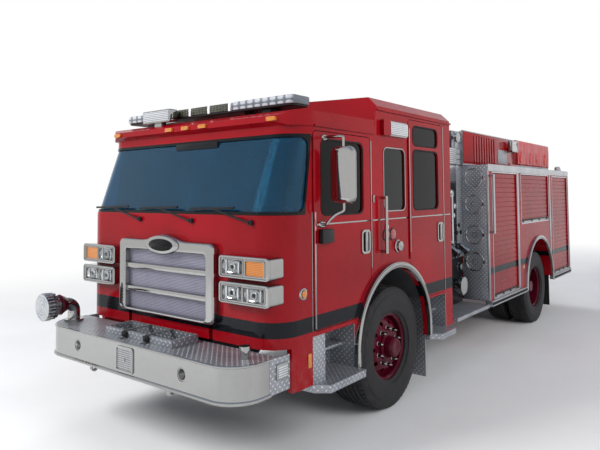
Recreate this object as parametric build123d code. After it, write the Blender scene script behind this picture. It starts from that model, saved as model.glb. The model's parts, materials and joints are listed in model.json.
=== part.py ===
import os
from math import sqrt

from build123d import *

# Fire engine, millimetres. X is to the vehicle's left, Y to its rear and Z up.
# Stations along Y are counted from the front bumper's face while the pieces are made.
# At export the whole vehicle moves so that Y = 0 is the middle of its length.

# Overall
LENGTH = 8500.0                 # tailboard's rear edge
SUCTION_FACE_Y = -90.0          # front suction cap, the foremost point

# Wheels
FRONT_AXLE_Y = 2097.0
WHEELBASE = 4463.0
REAR_AXLE_Y = FRONT_AXLE_Y + WHEELBASE
FRONT_TYRE_R = 562.5
FRONT_TYRE_W = 400.0
FRONT_TYRE_X = 985.0            # middle of the tread
REAR_TYRE_R = 540.0
REAR_TYRE_W = 290.0
TWIN_GAP = 50.0
REAR_OUTER_X = 1190.0           # outer wall of the outer rear tyre
BEAD_R = 286.0
RIM_T = 12.0
LIP = 18.0
SEAT_FIT = 0.3                  # gap between a tyre's bead and its rim
FRONT_RIM_W = 310.0
FRONT_DISC_X = 1120.0
FRONT_CAP_X = 1225.0
REAR_RIM_W = 210.0
REAR_CAP_X = 1120.0
DISC_T = 14.0
HUB_R = 125.0
HUB_CAP_R = 85.0
DRUM_R = 205.0
HAND_HOLES = 10
HAND_HOLE_R = 20.0
HAND_HOLE_RING = 222.0
SPINDLE_R = 35.0
RUN_FIT = 0.1
RUN_GAP = 8.0                   # clearance between a turning piece and what carries it

# Axles
KINGPIN_X = 800.0
KINGPIN_R = 22.0
FORK_H = 260.0
EYE_H = 160.0
EYE_R = 45.0
FORK_FACE = 870.0
BEAM_Z = (400.0, 500.0)
SPRING_X = (347.0, 427.0)
REAR_SPRING_X = (445.0, 525.0)
HANGER_H = 90.0
SPRING_HALVES = (640.0, 500.0, 350.0)
LEAF_T = 18.0
SPRING_DROP = 14.0              # a rail's underside to the longest leaf
REAR_TUBE_R = 75.0
REAR_TUBE_END = 560.0

# Chassis
RAIL_X = 432.0                  # outer face of a rail
RAIL_H = 210.0
RAIL_FLANGE = 80.0
RAIL_T = 10.0
RAIL_TOP = 840.0
RAIL_Y = (60.0, LENGTH - 170.0)
RAIL_BOTTOM = RAIL_TOP - RAIL_H
CROSS_YS = (560.0, 2620.0, 3300.0, 4620.0, 5750.0, REAR_AXLE_Y + 820.0, RAIL_Y[1] - 80.0)
CROSS_W = 80.0
CROSS_DROP = 40.0
ENGINE_HALF = 340.0
ENGINE_Y = (1000.0, 2240.0)
ENGINE_Z = (640.0, 1560.0)
GEARBOX_L = 260.0
SHAFT_Z = 565.0
RADIATOR_HALF = 400.0
RADIATOR_Y = (620.0, 740.0)
RADIATOR_Z = (700.0, 1500.0)

# Cab
CAB_HALF = 1219.0
CAB_FRONT = 420.0
CAB_REAR = 3396.0
CAB_BOTTOM = 550.0
APRON_BOTTOM = 870.0
APRON_BACK = 580.0              # the raised front edge ends here
WALL = 45.0
CORNER_R = 230.0
SILL_Z = 1830.0
HEADER_Z = 2480.0
HEADER_Y = 650.0
EAVE_Z = 2530.0                 # top of the low cab side
HIGH_Y = 1750.0                 # where the raised roof starts
HIGH_EAVE_Z = 2760.0
ROOF_T = 40.0
ROOF_RISE = 130.0
HIGH_RISE = 175.0
FLOOR_Z = 950.0
FLOOR_T = 40.0
GAP = 6.0                       # shut line round a door
TILT_Y = 480.0
TILT_Z = 970.0
LUG_X = (510.0, 530.0)
LUG_R = 22.0
PIN_X = (470.0, 570.0)
PIN_R = 14.0
PIVOT_X = (455.0, 585.0)
LUG_SLOT = (500.0, 540.0)

# Front wheel arch in the cab's side
ARCH_Z = 650.0
ARCH_R = 655.0
BAND_W = 50.0
BAND_PROUD = 38.0
DOOR_ARCH_R = ARCH_R + BAND_W + 20.0
WELL_R = 705.0
WELL_T = 28.0

# Engine tunnel
TUNNEL_HALF = 450.0
TUNNEL_T = 28.0
TUNNEL_TOP = 1620.0
TUNNEL_REAR = 2650.0

# Doors: front edge, rear edge, bottom and top, then the windows in them
FRONT_DOOR = ((838.0, 1687.0), (940.0, 2500.0))
CREW_DOOR = ((2403.0, 3200.0), (930.0, 2735.0))
FRONT_WINDOWS = (((950.0, 1556.0), (1836.0, 2430.0)),)
CREW_WINDOWS = (((2510.0, 3066.0), (1837.0, 2428.0)), ((2510.0, 3066.0), (2485.0, 2670.0)))
SIDE_WINDOW = ((1920.0, 2320.0), (1840.0, 2420.0))
WINDOW_R = 55.0
GLASS_T = 8.0
GLASS_IN = 12.0                 # glass stands this far inside the outer skin
HINGE_R = 7.0
HINGE_X = CAB_HALF + HINGE_R + 0.5
WINDSHIELD_Z = (1868.0, 2440.0)
WINDSHIELD_SIDE_Y = (715.0, 800.0)

# Bumper
BUMPER_HALF = CAB_HALF - 5.0
BUMPER_Z = (598.0, 843.0)
BUMPER_R = 250.0
BUMPER_T = 12.0
BUMPER_LIP = 60.0
BUMPER_WRAP = 330.0
DECK_T = 5.0
DECK_TOP = BUMPER_Z[1] + DECK_T
END_PLATE_Y = 545.0
TRAY_HALF = 430.0
TRAY_Y = (110.0, 372.0)
TRAY_TOP = 905.0
HORN_X = 670.0
HORN_Z = 730.0
HORN_R = 44.0
SIREN_HALF = 110.0
TOW_EYE_X = (485.0, 515.0)
TOW_EYE_Z = 562.0
TOW_EYE_R = 16.0
SUCTION_X = 114.0 - BUMPER_HALF
DECK_OUTLET = (BUMPER_HALF - 164.0, 250.0)
SUCTION_Z = 1010.0
SUCTION_PIPE_R = 55.0
SUCTION_PIPE_Y = 140.0
SUCTION_BEND = 75.0
SUCTION_CAP_R = 117.5

# Cab front
GRILLE_HALF = CAB_HALF / 2
GRILLE_Z = (990.0, 1620.0)
GRILLE_HUMP = 1655.0
GRILLE_OPEN = (GRILLE_HALF - 90.0, (1020.0, 1530.0))
GRILLE_BARS = (1185.0, 1385.0)
GRILLE_PROUD = 55.0
BEZEL_X = (CAB_HALF - 539.0, CAB_HALF - 39.0)
BEZEL_Y = 360.0

# Lamp housings: height, then the two lamps in each, counted out from the housing's inner edge
BEZELS = (((1380.0, 1540.0), ((25.0, 245.0), (270.0, 460.0))),
          ((1190.0, 1345.0), ((25.0, 235.0), (250.0, 460.0))))

# Pump house and body
PUMP_Y = (3450.0, 4440.0)
PUMP_HALF = 900.0
PUMP_BOTTOM = 600.0
PUMP_TOP = 2570.0
TOWER_Y = (4180.0, PUMP_Y[1])
TOWER_TOP = 2790.0
BODY_Y = (PUMP_Y[1], LENGTH - 105.0)
BODY_HALF = 1255.0
BODY_INNER = 615.0
BODY_Z = (640.0, 2354.0)
BODY_ARCH_Z = 630.0
BODY_ARCH_R = 650.0
SHUTTERS = (((4600.0, 5560.0), (650.0, 2250.0)),
            ((5750.0, 7120.0), (1550.0, 2250.0)),
            ((REAR_AXLE_Y + 790.0, BODY_Y[1] - 95.0), (650.0, 2240.0)))
REAR_SHUTTER = (450.0, (1000.0, 2000.0))
POCKET = 45.0
SHUTTER_SET = 14.0
SLAT = 64.0
BED_HALF = 940.0
BED_WALL = 25.0
BED_TOP = 2800.0
BED_FLOOR = 2060.0
BED_REAR = BODY_Y[1] - 35.0
COVER_Y = (6600.0, BED_REAR - 10.0)
COVER_T = 12.0
COVER_DROP = 360.0
BOARD_T = 40.0
BOARD_HALF = 1250.0
TAIL_Z = (575.0, BODY_Z[0])
BROW_Y = 600.0
HIGH_LEAN = 46.0
DOOR_CORNER = 45.0
SCREEN_R = 60.0
GRILLE_VENT = 420.0
BADGE_Z = 1577.0
STEPS = ((820.0, 970.0, 1400.0), (2812.0, 2812.0, 3215.0))    # front, start of the opening, rear
STEP_INNER = CAB_HALF - 259.0
STEP_OUT = 110.0
STEP_T = 60.0
SIDE_LAMP_Y = (1870.0, 1995.0, 2350.0)
SIDE_LAMP_Z = (2535.0, 2680.0)
MARKER_XS = (219.0 - CAB_HALF, -220.0, 0.0, 220.0, CAB_HALF - 219.0)
WIPER_XS = (-380.0, 300.0, 960.0)
BAR_HALF = CAB_HALF - 134.0
BAR_Y = (760.0, 1010.0)
BAR_Z = (EAVE_Z + ROOF_RISE + 45.0, EAVE_Z + ROOF_RISE + 130.0)
BROW_LAMP_X = (-670.0, -270.0)
BROW_LAMP_Z = (EAVE_Z + ROOF_RISE + 12.0, BAR_Z[1])
HANDLE_BACK = 95.0
HANDLE_Z = 1580.0
MIRROR_X = (CAB_HALF + 71.0, CAB_HALF + 281.0)
MIRROR_Y = (955.0, 1045.0)
MIRROR_Z = (1925.0, 2370.0)
MIRROR_TOP_FOOT = (990.0, 2450.0)
MIRROR_LOW_FOOT = (950.0, 1760.0)
DASH_Y = 820.0
WHEEL_HUB = (800.0, 1030.0, 1790.0)
COLUMN_R = 16.0
SEAT_Z = 1460.0
PANEL_T = 12.0
PANEL_Z = (1180.0, 2130.0)
SATIN_Z = (2140.0, 2345.0)
RIBBED_Z = (2355.0, 2565.0)
OUTLET_YS = (3560.0, 3880.0, 4190.0)
OUTLET_Z = 1330.0
STEAMER_Y = 3990.0
STEAMER_Z = 880.0
BOTTLE_X = 1078.0
BOTTLE_ZS = (2190.0, 1850.0, 1460.0, 1120.0)
BOTTLE_R = 122.0
BODY_RAIL_Y = BODY_Y[0] + 70.0
BODY_RAIL_Z = (BODY_Z[0] + 840.0, BODY_Z[1] - 124.0)
BED_LAMP_Y = (COVER_Y[0] - 470.0, COVER_Y[0] - 170.0)
BED_LAMP_Z = (BED_TOP - 190.0, BED_TOP - 10.0)
REAR_LAMP_X = (BODY_HALF - 215.0, BODY_HALF - 55.0)
REAR_LAMP_ZS = ((900.0, 1250.0), (1500.0, 1750.0), (2080.0, 2280.0))
BEACON = (BODY_HALF - 125.0, BODY_Y[1] - 165.0)
BEACON_R = 60.0
BEACON_H = 95.0
SEAT_OUT = CAB_HALF - 339.0
SEAT_IN = SEAT_OUT * 0.341
FRONT_SEAT = CAB_HALF - 399.0

# Seats: X of the middle, Y of the front edge, height of what it stands on, turned to the rear
SEAT_TABLE = ((FRONT_SEAT, 1160.0, FLOOR_Z, False), (-FRONT_SEAT, 1160.0, FLOOR_Z, False),
              (FRONT_SEAT, 2600.0, 1200.0, True), (-FRONT_SEAT, 2600.0, 1200.0, True),
              (SEAT_OUT, 2890.0, FLOOR_Z, False), (SEAT_IN, 2890.0, FLOOR_Z, False),
              (-SEAT_IN, 2890.0, FLOOR_Z, False), (-SEAT_OUT, 2890.0, FLOOR_Z, False))


def block(x, y, z):
    """A box from three (low, high) pairs."""
    return Pos((x[0] + x[1]) / 2, (y[0] + y[1]) / 2, (z[0] + z[1]) / 2) * Box(
        x[1] - x[0], y[1] - y[0], z[1] - z[0])


def side_plate(points, x):
    """A (Y, Z) outline carried across X."""
    plane = Plane(origin=(x[0], 0, 0), x_dir=(0, 1, 0), z_dir=(1, 0, 0))
    return extrude(plane * make_face(Polyline(points, close=True)), x[1] - x[0])


def front_plate(points, y):
    """An (X, Z) outline carried along Y."""
    plane = Plane(origin=(0, y[0], 0), x_dir=(1, 0, 0), z_dir=(0, -1, 0))
    return extrude(plane * make_face(Polyline(points, close=True)), -(y[1] - y[0]))


def plan_plate(points, z):
    """An (X, Y) outline carried up Z."""
    return extrude(Pos(0, 0, z[0]) * make_face(Polyline(points, close=True)), z[1] - z[0])


def side_round(y, z, x, radius):
    """A rectangle in the side view with round corners, carried across X."""
    plane = Plane(origin=(x[0], (y[0] + y[1]) / 2, (z[0] + z[1]) / 2), x_dir=(0, 1, 0), z_dir=(1, 0, 0))
    return extrude(plane * RectangleRounded(y[1] - y[0], z[1] - z[0], radius), x[1] - x[0])


def front_round(x, z, y, radius):
    """A rectangle in the front view with round corners, carried along Y."""
    plane = Plane(origin=((x[0] + x[1]) / 2, y[0], (z[0] + z[1]) / 2), x_dir=(1, 0, 0), z_dir=(0, -1, 0))
    return extrude(plane * RectangleRounded(x[1] - x[0], z[1] - z[0], radius), -(y[1] - y[0]))


def rod(start, end, radius, radius_end=None):
    """A round bar, or a cone, between two points."""
    a, b = Vector(*start), Vector(*end)
    plane = Plane(origin=a, z_dir=b - a)
    length = (b - a).length
    align = (Align.CENTER, Align.CENTER, Align.MIN)
    if radius_end is None:
        return plane * Cylinder(radius, length, align=align)
    return plane * Cone(radius, radius_end, length, align=align)


def across(y, z, x, radius):
    """A round bar along X."""
    return rod((x[0], y, z), (x[1], y, z), radius)


def both(shape):
    """The shape and its mirror image on the other side of the vehicle."""
    return [shape, mirror(shape, about=Plane.YZ)]


def turned(points, x, y, z):
    """An (X, radius) outline turned about an axle along X through the point."""
    return Pos(x, y, z) * revolve(make_face(Polyline(points, close=True)), axis=Axis.X)


def signed(side, pair):
    """A (low, high) pair of X, on the left for side 1 and on the right for side -1."""
    return tuple(sorted((side * pair[0], side * pair[1])))


def inset(pair, amount):
    """A (low, high) pair drawn in by amount at both ends."""
    return pair[0] + amount, pair[1] - amount


def grab_rail(x, y, z, reach, radius=16.0):
    """An upright hand rail with a foot at each end, on a wall that faces X or Y."""
    bar = rod((x, y, z[0]), (x, y, z[1]), radius)
    for level in (z[0] + radius, z[1] - radius):
        bar += rod((x, y, level), (x - reach[0], y - reach[1], level), radius * 0.8)
    return bar


NODES = {}


def keep(name, *shapes):
    """Store a node's solids under its name."""
    solids = []
    for shape in shapes:
        for item in (shape if isinstance(shape, list) else [shape]):
            solids.extend(item.solids())
    NODES[name] = solids


# Chassis
def chassis():
    """Rails, crossmembers and the cab's tilt lugs, the engine and the radiator."""
    rail = block((RAIL_X - RAIL_T, RAIL_X), RAIL_Y, (RAIL_BOTTOM, RAIL_TOP))
    for low in (RAIL_BOTTOM, RAIL_TOP - RAIL_T):
        rail += block((RAIL_X - RAIL_FLANGE, RAIL_X), RAIL_Y, (low, low + RAIL_T))
    lug_y = (TILT_Y - LUG_R, TILT_Y + LUG_R)
    rail += block((RAIL_X, LUG_X[1]), lug_y, (RAIL_BOTTOM + RAIL_FLANGE, RAIL_TOP - RAIL_T))
    rail += block(LUG_X, lug_y, (RAIL_BOTTOM + RAIL_FLANGE, TILT_Z))
    rail += across(TILT_Y, TILT_Z, LUG_X, LUG_R)
    rail += across(TILT_Y, TILT_Z, PIN_X, PIN_R)
    left, right = both(rail)
    frame = left + right
    for y in CROSS_YS:
        frame += block((-(RAIL_X - RAIL_T), RAIL_X - RAIL_T), (y - CROSS_W / 2, y + CROSS_W / 2),
                       (RAIL_BOTTOM + CROSS_DROP, RAIL_TOP - CROSS_DROP))
    keep("frame", frame)

    gearbox_y = (ENGINE_Y[1], ENGINE_Y[1] + GEARBOX_L)
    motor = block((-ENGINE_HALF, ENGINE_HALF), ENGINE_Y, ENGINE_Z)
    motor += block((-200, 200), (ENGINE_Y[0] + 150, ENGINE_Y[1] - 250), (ENGINE_Z[0] - 60, ENGINE_Z[0]))
    motor += block((-230, 230), gearbox_y, (ENGINE_Z[0], ENGINE_Z[0] + 460))
    motor += block((-90, 90), gearbox_y, (SHAFT_Z - 60, ENGINE_Z[0]))
    motor += block((-(RAIL_X - RAIL_T), RAIL_X - RAIL_T), (ENGINE_Y[0] + 500, ENGINE_Y[0] + 600),
                   (RAIL_BOTTOM + 2 * CROSS_DROP, RAIL_TOP - CROSS_DROP))
    keep("engine", motor)
    core = block((-RADIATOR_HALF, RADIATOR_HALF), RADIATOR_Y, (RAIL_TOP, RADIATOR_Z[1]))
    core += block((50 - ENGINE_HALF, ENGINE_HALF - 50), RADIATOR_Y, (RADIATOR_Z[0], RAIL_TOP))
    core -= block((50 - RADIATOR_HALF, RADIATOR_HALF - 50), (RADIATOR_Y[0] - 1, RADIATOR_Y[0] + 15),
                  (RAIL_TOP + 40, RADIATOR_Z[1] - 40))
    keep("radiator", core)


def leaves(side, y, top, x):
    """A pack of leaves, longest on top, with a hanger to the rail at each end."""
    longest, middle, shortest = SPRING_HALVES
    span = signed(side, x)
    pack = side_plate([(y - longest, top), (y - longest, top - LEAF_T), (y - middle, top - LEAF_T),
                       (y - middle, top - 2 * LEAF_T), (y - shortest, top - 2 * LEAF_T),
                       (y - shortest, top - 3 * LEAF_T), (y + shortest, top - 3 * LEAF_T),
                       (y + shortest, top - 2 * LEAF_T), (y + middle, top - 2 * LEAF_T),
                       (y + middle, top - LEAF_T), (y + longest, top - LEAF_T), (y + longest, top)], span)
    for end in (y - longest + 50, y + longest - 50):
        if x[0] < RAIL_X:
            pack += block(span, (end - 50, end + 50), (top, RAIL_BOTTOM))
        else:
            pack += block(signed(side, (RAIL_X, x[1])), (end - 50, end + 50), (top, top + HANGER_H))
    return pack


def axles():
    """Front beam and its springs, rear axle with its springs and propeller shaft."""
    y, z = FRONT_AXLE_Y, FRONT_TYRE_R
    top = RAIL_BOTTOM - SPRING_DROP
    seat_top = top - LEAF_T * len(SPRING_HALVES)
    neck = KINGPIN_X - EYE_R - RUN_GAP - 55
    beam = block((-neck, neck), (y - 50, y + 50), BEAM_Z)
    for side in (1, -1):
        x = side * KINGPIN_X
        beam += block(signed(side, (neck, KINGPIN_X)), (y - EYE_R, y + EYE_R),
                      (z - EYE_H / 2, z + EYE_H / 2))
        beam += rod((x, y, z - EYE_H / 2), (x, y, z + EYE_H / 2), EYE_R)
        beam += block(signed(side, (neck - 60, neck)), (y - EYE_R, y + EYE_R), (BEAM_Z[0], z + EYE_H / 2))
        beam += rod((x, y, z - FORK_H / 2), (x, y, z + FORK_H / 2), KINGPIN_R)
        beam += block(signed(side, SPRING_X), (y - 60, y + 60), (BEAM_Z[1], seat_top))
    keep("front_axle", beam, leaves(1, y, top, SPRING_X), leaves(-1, y, top, SPRING_X))

    y, z = REAR_AXLE_Y, REAR_TYRE_R
    axle = across(y, z, (-REAR_TUBE_END, REAR_TUBE_END), REAR_TUBE_R)
    axle += across(y, z, (-(REAR_CAP_X - 25), REAR_CAP_X - 25), SPINDLE_R)
    axle += Pos(0, y, z) * Sphere(190)
    axle += rod((0, y, z), (0, y - 330, z), 90)
    coupling = ENGINE_Y[1] + GEARBOX_L
    axle += rod((0, y - 300, z), (0, coupling + 60, SHAFT_Z), 45)
    axle += rod((0, coupling + 80, SHAFT_Z), (0, coupling, SHAFT_Z), 58)
    top = z + REAR_TUBE_R + LEAF_T * len(SPRING_HALVES)
    keep("rear_axle", axle, leaves(1, y, top, REAR_SPRING_X), leaves(-1, y, top, REAR_SPRING_X))


# Wheels
def rim(half):
    """(X, radius) outline of a rim about its own middle."""
    wall = BEAD_R - RIM_T
    lip = BEAD_R + LIP
    return [
        (half, lip), (half - 12, lip), (half - 26, BEAD_R), (26 - half, BEAD_R), (12 - half, lip),
        (-half, lip), (-half, BEAD_R), (14 - half, wall), (half - 14, wall), (half, BEAD_R),
    ]


def dish(disc, root):
    """(X, radius) outline of a wheel's disc, from the rim at X = root in to the hub at X = disc."""
    wall = BEAD_R - RIM_T
    face = disc + DISC_T
    return [(root, wall), (disc, 215), (disc, HUB_R), (face, HUB_R), (face, 205), (root + 34, wall)]


def tyre(radius, width, rim_half, x, y, z):
    """A tyre round a rim, with its tread flat and its shoulders and walls rounded off."""
    half = width / 2
    bead = BEAD_R + LIP + SEAT_FIT
    right = [(rim_half - 26 - SEAT_FIT, BEAD_R + SEAT_FIT), (rim_half - 12 - SEAT_FIT, bead),
             (half * 0.84, bead), (half, radius * 0.74), (half - 3, radius * 0.88), (half * 0.9, radius - 16),
             (half * 0.74, radius)]
    left = [(-a, b) for a, b in reversed(right)]
    return turned(right + left, x, y, z)


def holes(x, y, z):
    """The ring of hand holes through a wheel's disc."""
    bores = []
    for index in range(HAND_HOLES):
        spot = Vector(0, HAND_HOLE_RING, 0).rotate(Axis.X, 360 / HAND_HOLES * index)
        bores.append(across(y + spot.Y, z + spot.Z, (x - 80, x + 80), HAND_HOLE_R))
    return bores


def wheels():
    """Knuckles, front wheels, twin rear wheels and their tyres."""
    y, z = FRONT_AXLE_Y, FRONT_TYRE_R
    fork = block((KINGPIN_X - EYE_R, FORK_FACE), (y - EYE_R, y + EYE_R), (z - FORK_H / 2, z + FORK_H / 2))
    gap = EYE_H / 2 + RUN_GAP
    fork -= block((KINGPIN_X - EYE_R - 1, KINGPIN_X + EYE_R + RUN_GAP), (y - 90, y + 90), (z - gap, z + gap))
    fork -= rod((KINGPIN_X, y, z - FORK_H), (KINGPIN_X, y, z + FORK_H), KINGPIN_R + RUN_FIT)
    fork += across(y, z, (FORK_FACE, FRONT_CAP_X - 25), SPINDLE_R)
    for name, shape in zip(("left", "right"), both(fork)):
        keep("knuckle_" + name, shape)

    bore = SPINDLE_R + RUN_FIT
    middle, disc = FRONT_TYRE_X, FRONT_DISC_X
    half = FRONT_RIM_W / 2
    offset = disc - DISC_T - middle
    hub = turned([(FORK_FACE + RUN_GAP, bore), (FORK_FACE + RUN_GAP, HUB_R), (disc + 16, HUB_R),
                     (disc + 22, HUB_CAP_R), (FRONT_CAP_X - 10, HUB_CAP_R), (FRONT_CAP_X, HUB_CAP_R - 10),
                     (FRONT_CAP_X, 0), (FRONT_CAP_X - 15, 0), (FRONT_CAP_X - 15, bore)], 0, y, z)
    plate = turned(dish(offset, offset - 60), middle, y, z) - holes(disc, y, z)
    rubber = tyre(FRONT_TYRE_R, FRONT_TYRE_W, half, middle, y, z)
    ring = turned(rim(half), middle, y, z)
    for index, name in enumerate(("left", "right")):
        keep("front_wheel_" + name, *[both(piece)[index] for piece in (ring, plate, hub)])
        keep("front_tyre_" + name, both(rubber)[index])

    y, z = REAR_AXLE_Y, REAR_TYRE_R
    outer = REAR_OUTER_X - REAR_TYRE_W / 2
    inner = outer - REAR_TYRE_W - TWIN_GAP
    seam = (outer + inner) / 2
    half = REAR_RIM_W / 2
    section = dish(seam - outer, 34 - half)
    plates = [turned(section, outer, y, z), turned([(-a, b) for a, b in section], inner, y, z)]
    hub = turned([(REAR_TUBE_END + RUN_GAP, bore), (REAR_TUBE_END + RUN_GAP, DRUM_R),
                     (seam - 60, DRUM_R), (seam - 50, HUB_R), (seam + 60, HUB_R), (seam + 70, HUB_CAP_R),
                     (REAR_CAP_X - 10, HUB_CAP_R), (REAR_CAP_X, HUB_CAP_R - 10), (REAR_CAP_X, 0),
                     (REAR_CAP_X - 15, 0), (REAR_CAP_X - 15, bore)], 0, y, z)
    pieces = [hub] + [plate - holes(seam, y, z) for plate in plates]
    pieces += [turned(rim(half), x, y, z) for x in (outer, inner)]
    rubbers = [tyre(REAR_TYRE_R, REAR_TYRE_W, half, x, y, z) for x in (outer, inner)]
    for index, name in enumerate(("left", "right")):
        keep("rear_wheels_" + name, *[both(piece)[index] for piece in pieces])
        keep("rear_tyres_" + name, *[both(rubber)[index] for rubber in rubbers])


# Front bumper
def bumper_plan(pull, z):
    """The bumper's outline in plan, its front corners rounded, carried up Z."""
    half, radius = BUMPER_HALF - pull, BUMPER_R - pull
    width, depth = 2 * half, BUMPER_WRAP - pull + 2 * radius
    plate = extrude(Pos(0, pull + depth / 2, z[0]) * RectangleRounded(width, depth, radius), z[1] - z[0])
    return plate - block((-half - 1, half + 1), (BUMPER_WRAP, depth + 2 * BUMPER_R), (z[0] - 1, z[1] + 1))


def bumper():
    """Chrome bumper, its deck with the hose tray, and what stands in and on them."""
    shell = bumper_plan(0, BUMPER_Z)
    shell -= bumper_plan(BUMPER_T, (BUMPER_Z[0] + BUMPER_T, BUMPER_Z[1] - BUMPER_T))
    shell -= bumper_plan(BUMPER_LIP, (BUMPER_Z[0] - 1, BUMPER_Z[1] + 1))
    hole = rod((HORN_X, -1, HORN_Z), (HORN_X, BUMPER_T + 1, HORN_Z), HORN_R + 2)
    shell -= both(hole)
    siren_z = (BUMPER_Z[0] + 32, BUMPER_Z[1] - 28)
    shell -= front_round((-SIREN_HALF, SIREN_HALF), siren_z, (-1, BUMPER_T + 1), 15)
    keep("bumper", shell)

    deck = bumper_plan(0, (BUMPER_Z[1], DECK_TOP))
    deck += block((-BUMPER_HALF, BUMPER_HALF), (BUMPER_WRAP, CAB_FRONT - 5), (BUMPER_Z[1], DECK_TOP))
    for side in (1, -1):
        end_x = signed(side, (BUMPER_HALF - BUMPER_T, BUMPER_HALF))
        deck += block(end_x, (BUMPER_WRAP, END_PLATE_Y), BUMPER_Z)
    curb = block((-TRAY_HALF, TRAY_HALF), TRAY_Y, (DECK_TOP, TRAY_TOP))
    edge = (-TRAY_HALF, TRAY_HALF)
    well = block(inset(edge, 25), inset(TRAY_Y, 25), (BUMPER_Z[1] - 150, TRAY_TOP + 1))
    pan = block(inset(edge, 20), inset(TRAY_Y, 20), (BUMPER_Z[1] - 155, DECK_TOP))
    pan -= block((RAIL_X - RAIL_FLANGE - 5, TRAY_HALF), TRAY_Y, (0, BUMPER_Z[1]))
    pan -= block((-TRAY_HALF, RAIL_FLANGE + 5 - RAIL_X), TRAY_Y, (0, BUMPER_Z[1]))
    well -= block((RAIL_X - RAIL_FLANGE - 10, TRAY_HALF), TRAY_Y, (0, BUMPER_Z[1]))
    well -= block((-TRAY_HALF, RAIL_FLANGE + 10 - RAIL_X), TRAY_Y, (0, BUMPER_Z[1]))
    keep("bumper_deck", deck + curb + pan - well)

    horn = rod((HORN_X, 4, HORN_Z), (HORN_X, 70, HORN_Z), HORN_R, 22)
    horn += rod((HORN_X, 70, HORN_Z), (HORN_X, 200, HORN_Z), 22, 14)
    horn -= rod((HORN_X, 3, HORN_Z), (HORN_X, 60, HORN_Z), HORN_R - 5, 18)
    horn += block((HORN_X - 8, HORN_X + 8), (150, 170), (HORN_Z, BUMPER_Z[1]))
    siren = front_round((-SIREN_HALF + 1, SIREN_HALF - 1), (siren_z[0] + 1, siren_z[1] - 1), (3, 10), 14)
    for level in range(6):
        low = siren_z[0] + 24 + level * 24
        siren -= block((-SIREN_HALF + 20, SIREN_HALF - 20), (2, 11), (low, low + 12))
    flange = inset(siren_z, -8)
    siren += front_round((-SIREN_HALF - 12, SIREN_HALF + 12), flange, (BUMPER_T, BUMPER_T + 4), 20)
    siren += front_round((-SIREN_HALF + 10, SIREN_HALF - 10), inset(siren_z, 12), (9, BUMPER_T + 1), 14)
    siren += rod((0, BUMPER_T, sum(siren_z) / 2), (0, 118, sum(siren_z) / 2), 75, 50)
    hook = block(TOW_EYE_X, (20, 80), (TOW_EYE_Z, BUMPER_Z[0])) + across(50, TOW_EYE_Z, TOW_EYE_X, 30)
    hook -= across(50, TOW_EYE_Z, inset(TOW_EYE_X, -1), TOW_EYE_R)
    outlet = rod((*DECK_OUTLET, DECK_TOP), (*DECK_OUTLET, DECK_TOP + 60), 28)
    outlet += rod((*DECK_OUTLET, DECK_TOP + 60), (*DECK_OUTLET, DECK_TOP + 90), 40)
    keep("bumper_fittings", both(horn), siren, both(hook), outlet)

    x, z = SUCTION_X, SUCTION_Z
    bend_y = SUCTION_PIPE_Y
    low = z - SUCTION_BEND
    pipe = rod((x, SUCTION_FACE_Y + 150, z), (x, bend_y, z), SUCTION_PIPE_R)
    mouth = Plane(origin=(x, bend_y, z), x_dir=(1, 0, 0), z_dir=(0, 1, 0)) * Circle(SUCTION_PIPE_R)
    pipe += revolve(mouth, axis=Axis((x, bend_y, low), (1, 0, 0)), revolution_arc=-90)
    pipe += rod((x, bend_y + SUCTION_BEND, DECK_TOP), (x, bend_y + SUCTION_BEND, low), SUCTION_PIPE_R)
    pipe += rod((x, bend_y + SUCTION_BEND, DECK_TOP), (x, bend_y + SUCTION_BEND, DECK_TOP + 18), 85)
    ring = rod((x, SUCTION_FACE_Y + 100, z), (x, SUCTION_FACE_Y + 150, z), SUCTION_PIPE_R + 18)
    cap = rod((x, SUCTION_FACE_Y, z), (x, SUCTION_FACE_Y + 100, z), SUCTION_CAP_R)
    for index in range(12):
        spot = Vector(x, 0, z) + Vector(0, 0, SUCTION_CAP_R).rotate(Axis.Y, 30 * index)
        cap -= rod((spot.X, SUCTION_FACE_Y + 22, spot.Z), (spot.X, SUCTION_FACE_Y + 101, spot.Z), 16)
    keep("front_suction", pipe + ring + cap)


# Cab body
def cab_hull(pull, low, over):
    """The cab's outer form pulled in by pull, from low up to the eaves plus over."""
    half = CAB_HALF - pull
    front, header = CAB_FRONT + pull, HEADER_Y + pull
    low_eave, high_eave = EAVE_Z + over, HIGH_EAVE_Z + over
    outline = [
        (front, low), (front, SILL_Z), (header, HEADER_Z), (header, low_eave), (HIGH_Y, low_eave),
        (HIGH_Y + HIGH_LEAN, high_eave), (CAB_REAR - pull, high_eave), (CAB_REAR - pull, low),
    ]
    hull = side_plate(outline, (-half, half))
    corners = []
    for edge in hull.edges():
        middle, size = edge.center(), edge.bounding_box().size
        if middle.Y < header + 5 and abs(abs(middle.X) - half) < 1 and size.X < 1 and size.Z > 10:
            corners.append(edge)
    return fillet(corners, CORNER_R - pull)


def arch(y, z, radius, x, low):
    """A wheel arch's space: a half round with straight legs down to low."""
    upper = across(y, z, x, radius) & block(x, (y - radius, y + radius), (z, z + radius))
    return upper + block(x, (y - radius, y + radius), (low, z))


def door_plate(door, shrink, x):
    """A door's outline, pulled in by shrink and cut back round the wheel arch."""
    y, z = door
    plate = side_round(inset(y, shrink), inset(z, shrink), x, DOOR_CORNER - shrink)
    wide = (x[0] - 1, x[1] + 1)
    return plate - across(FRONT_AXLE_Y, ARCH_Z, wide, DOOR_ARCH_R + shrink)


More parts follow.
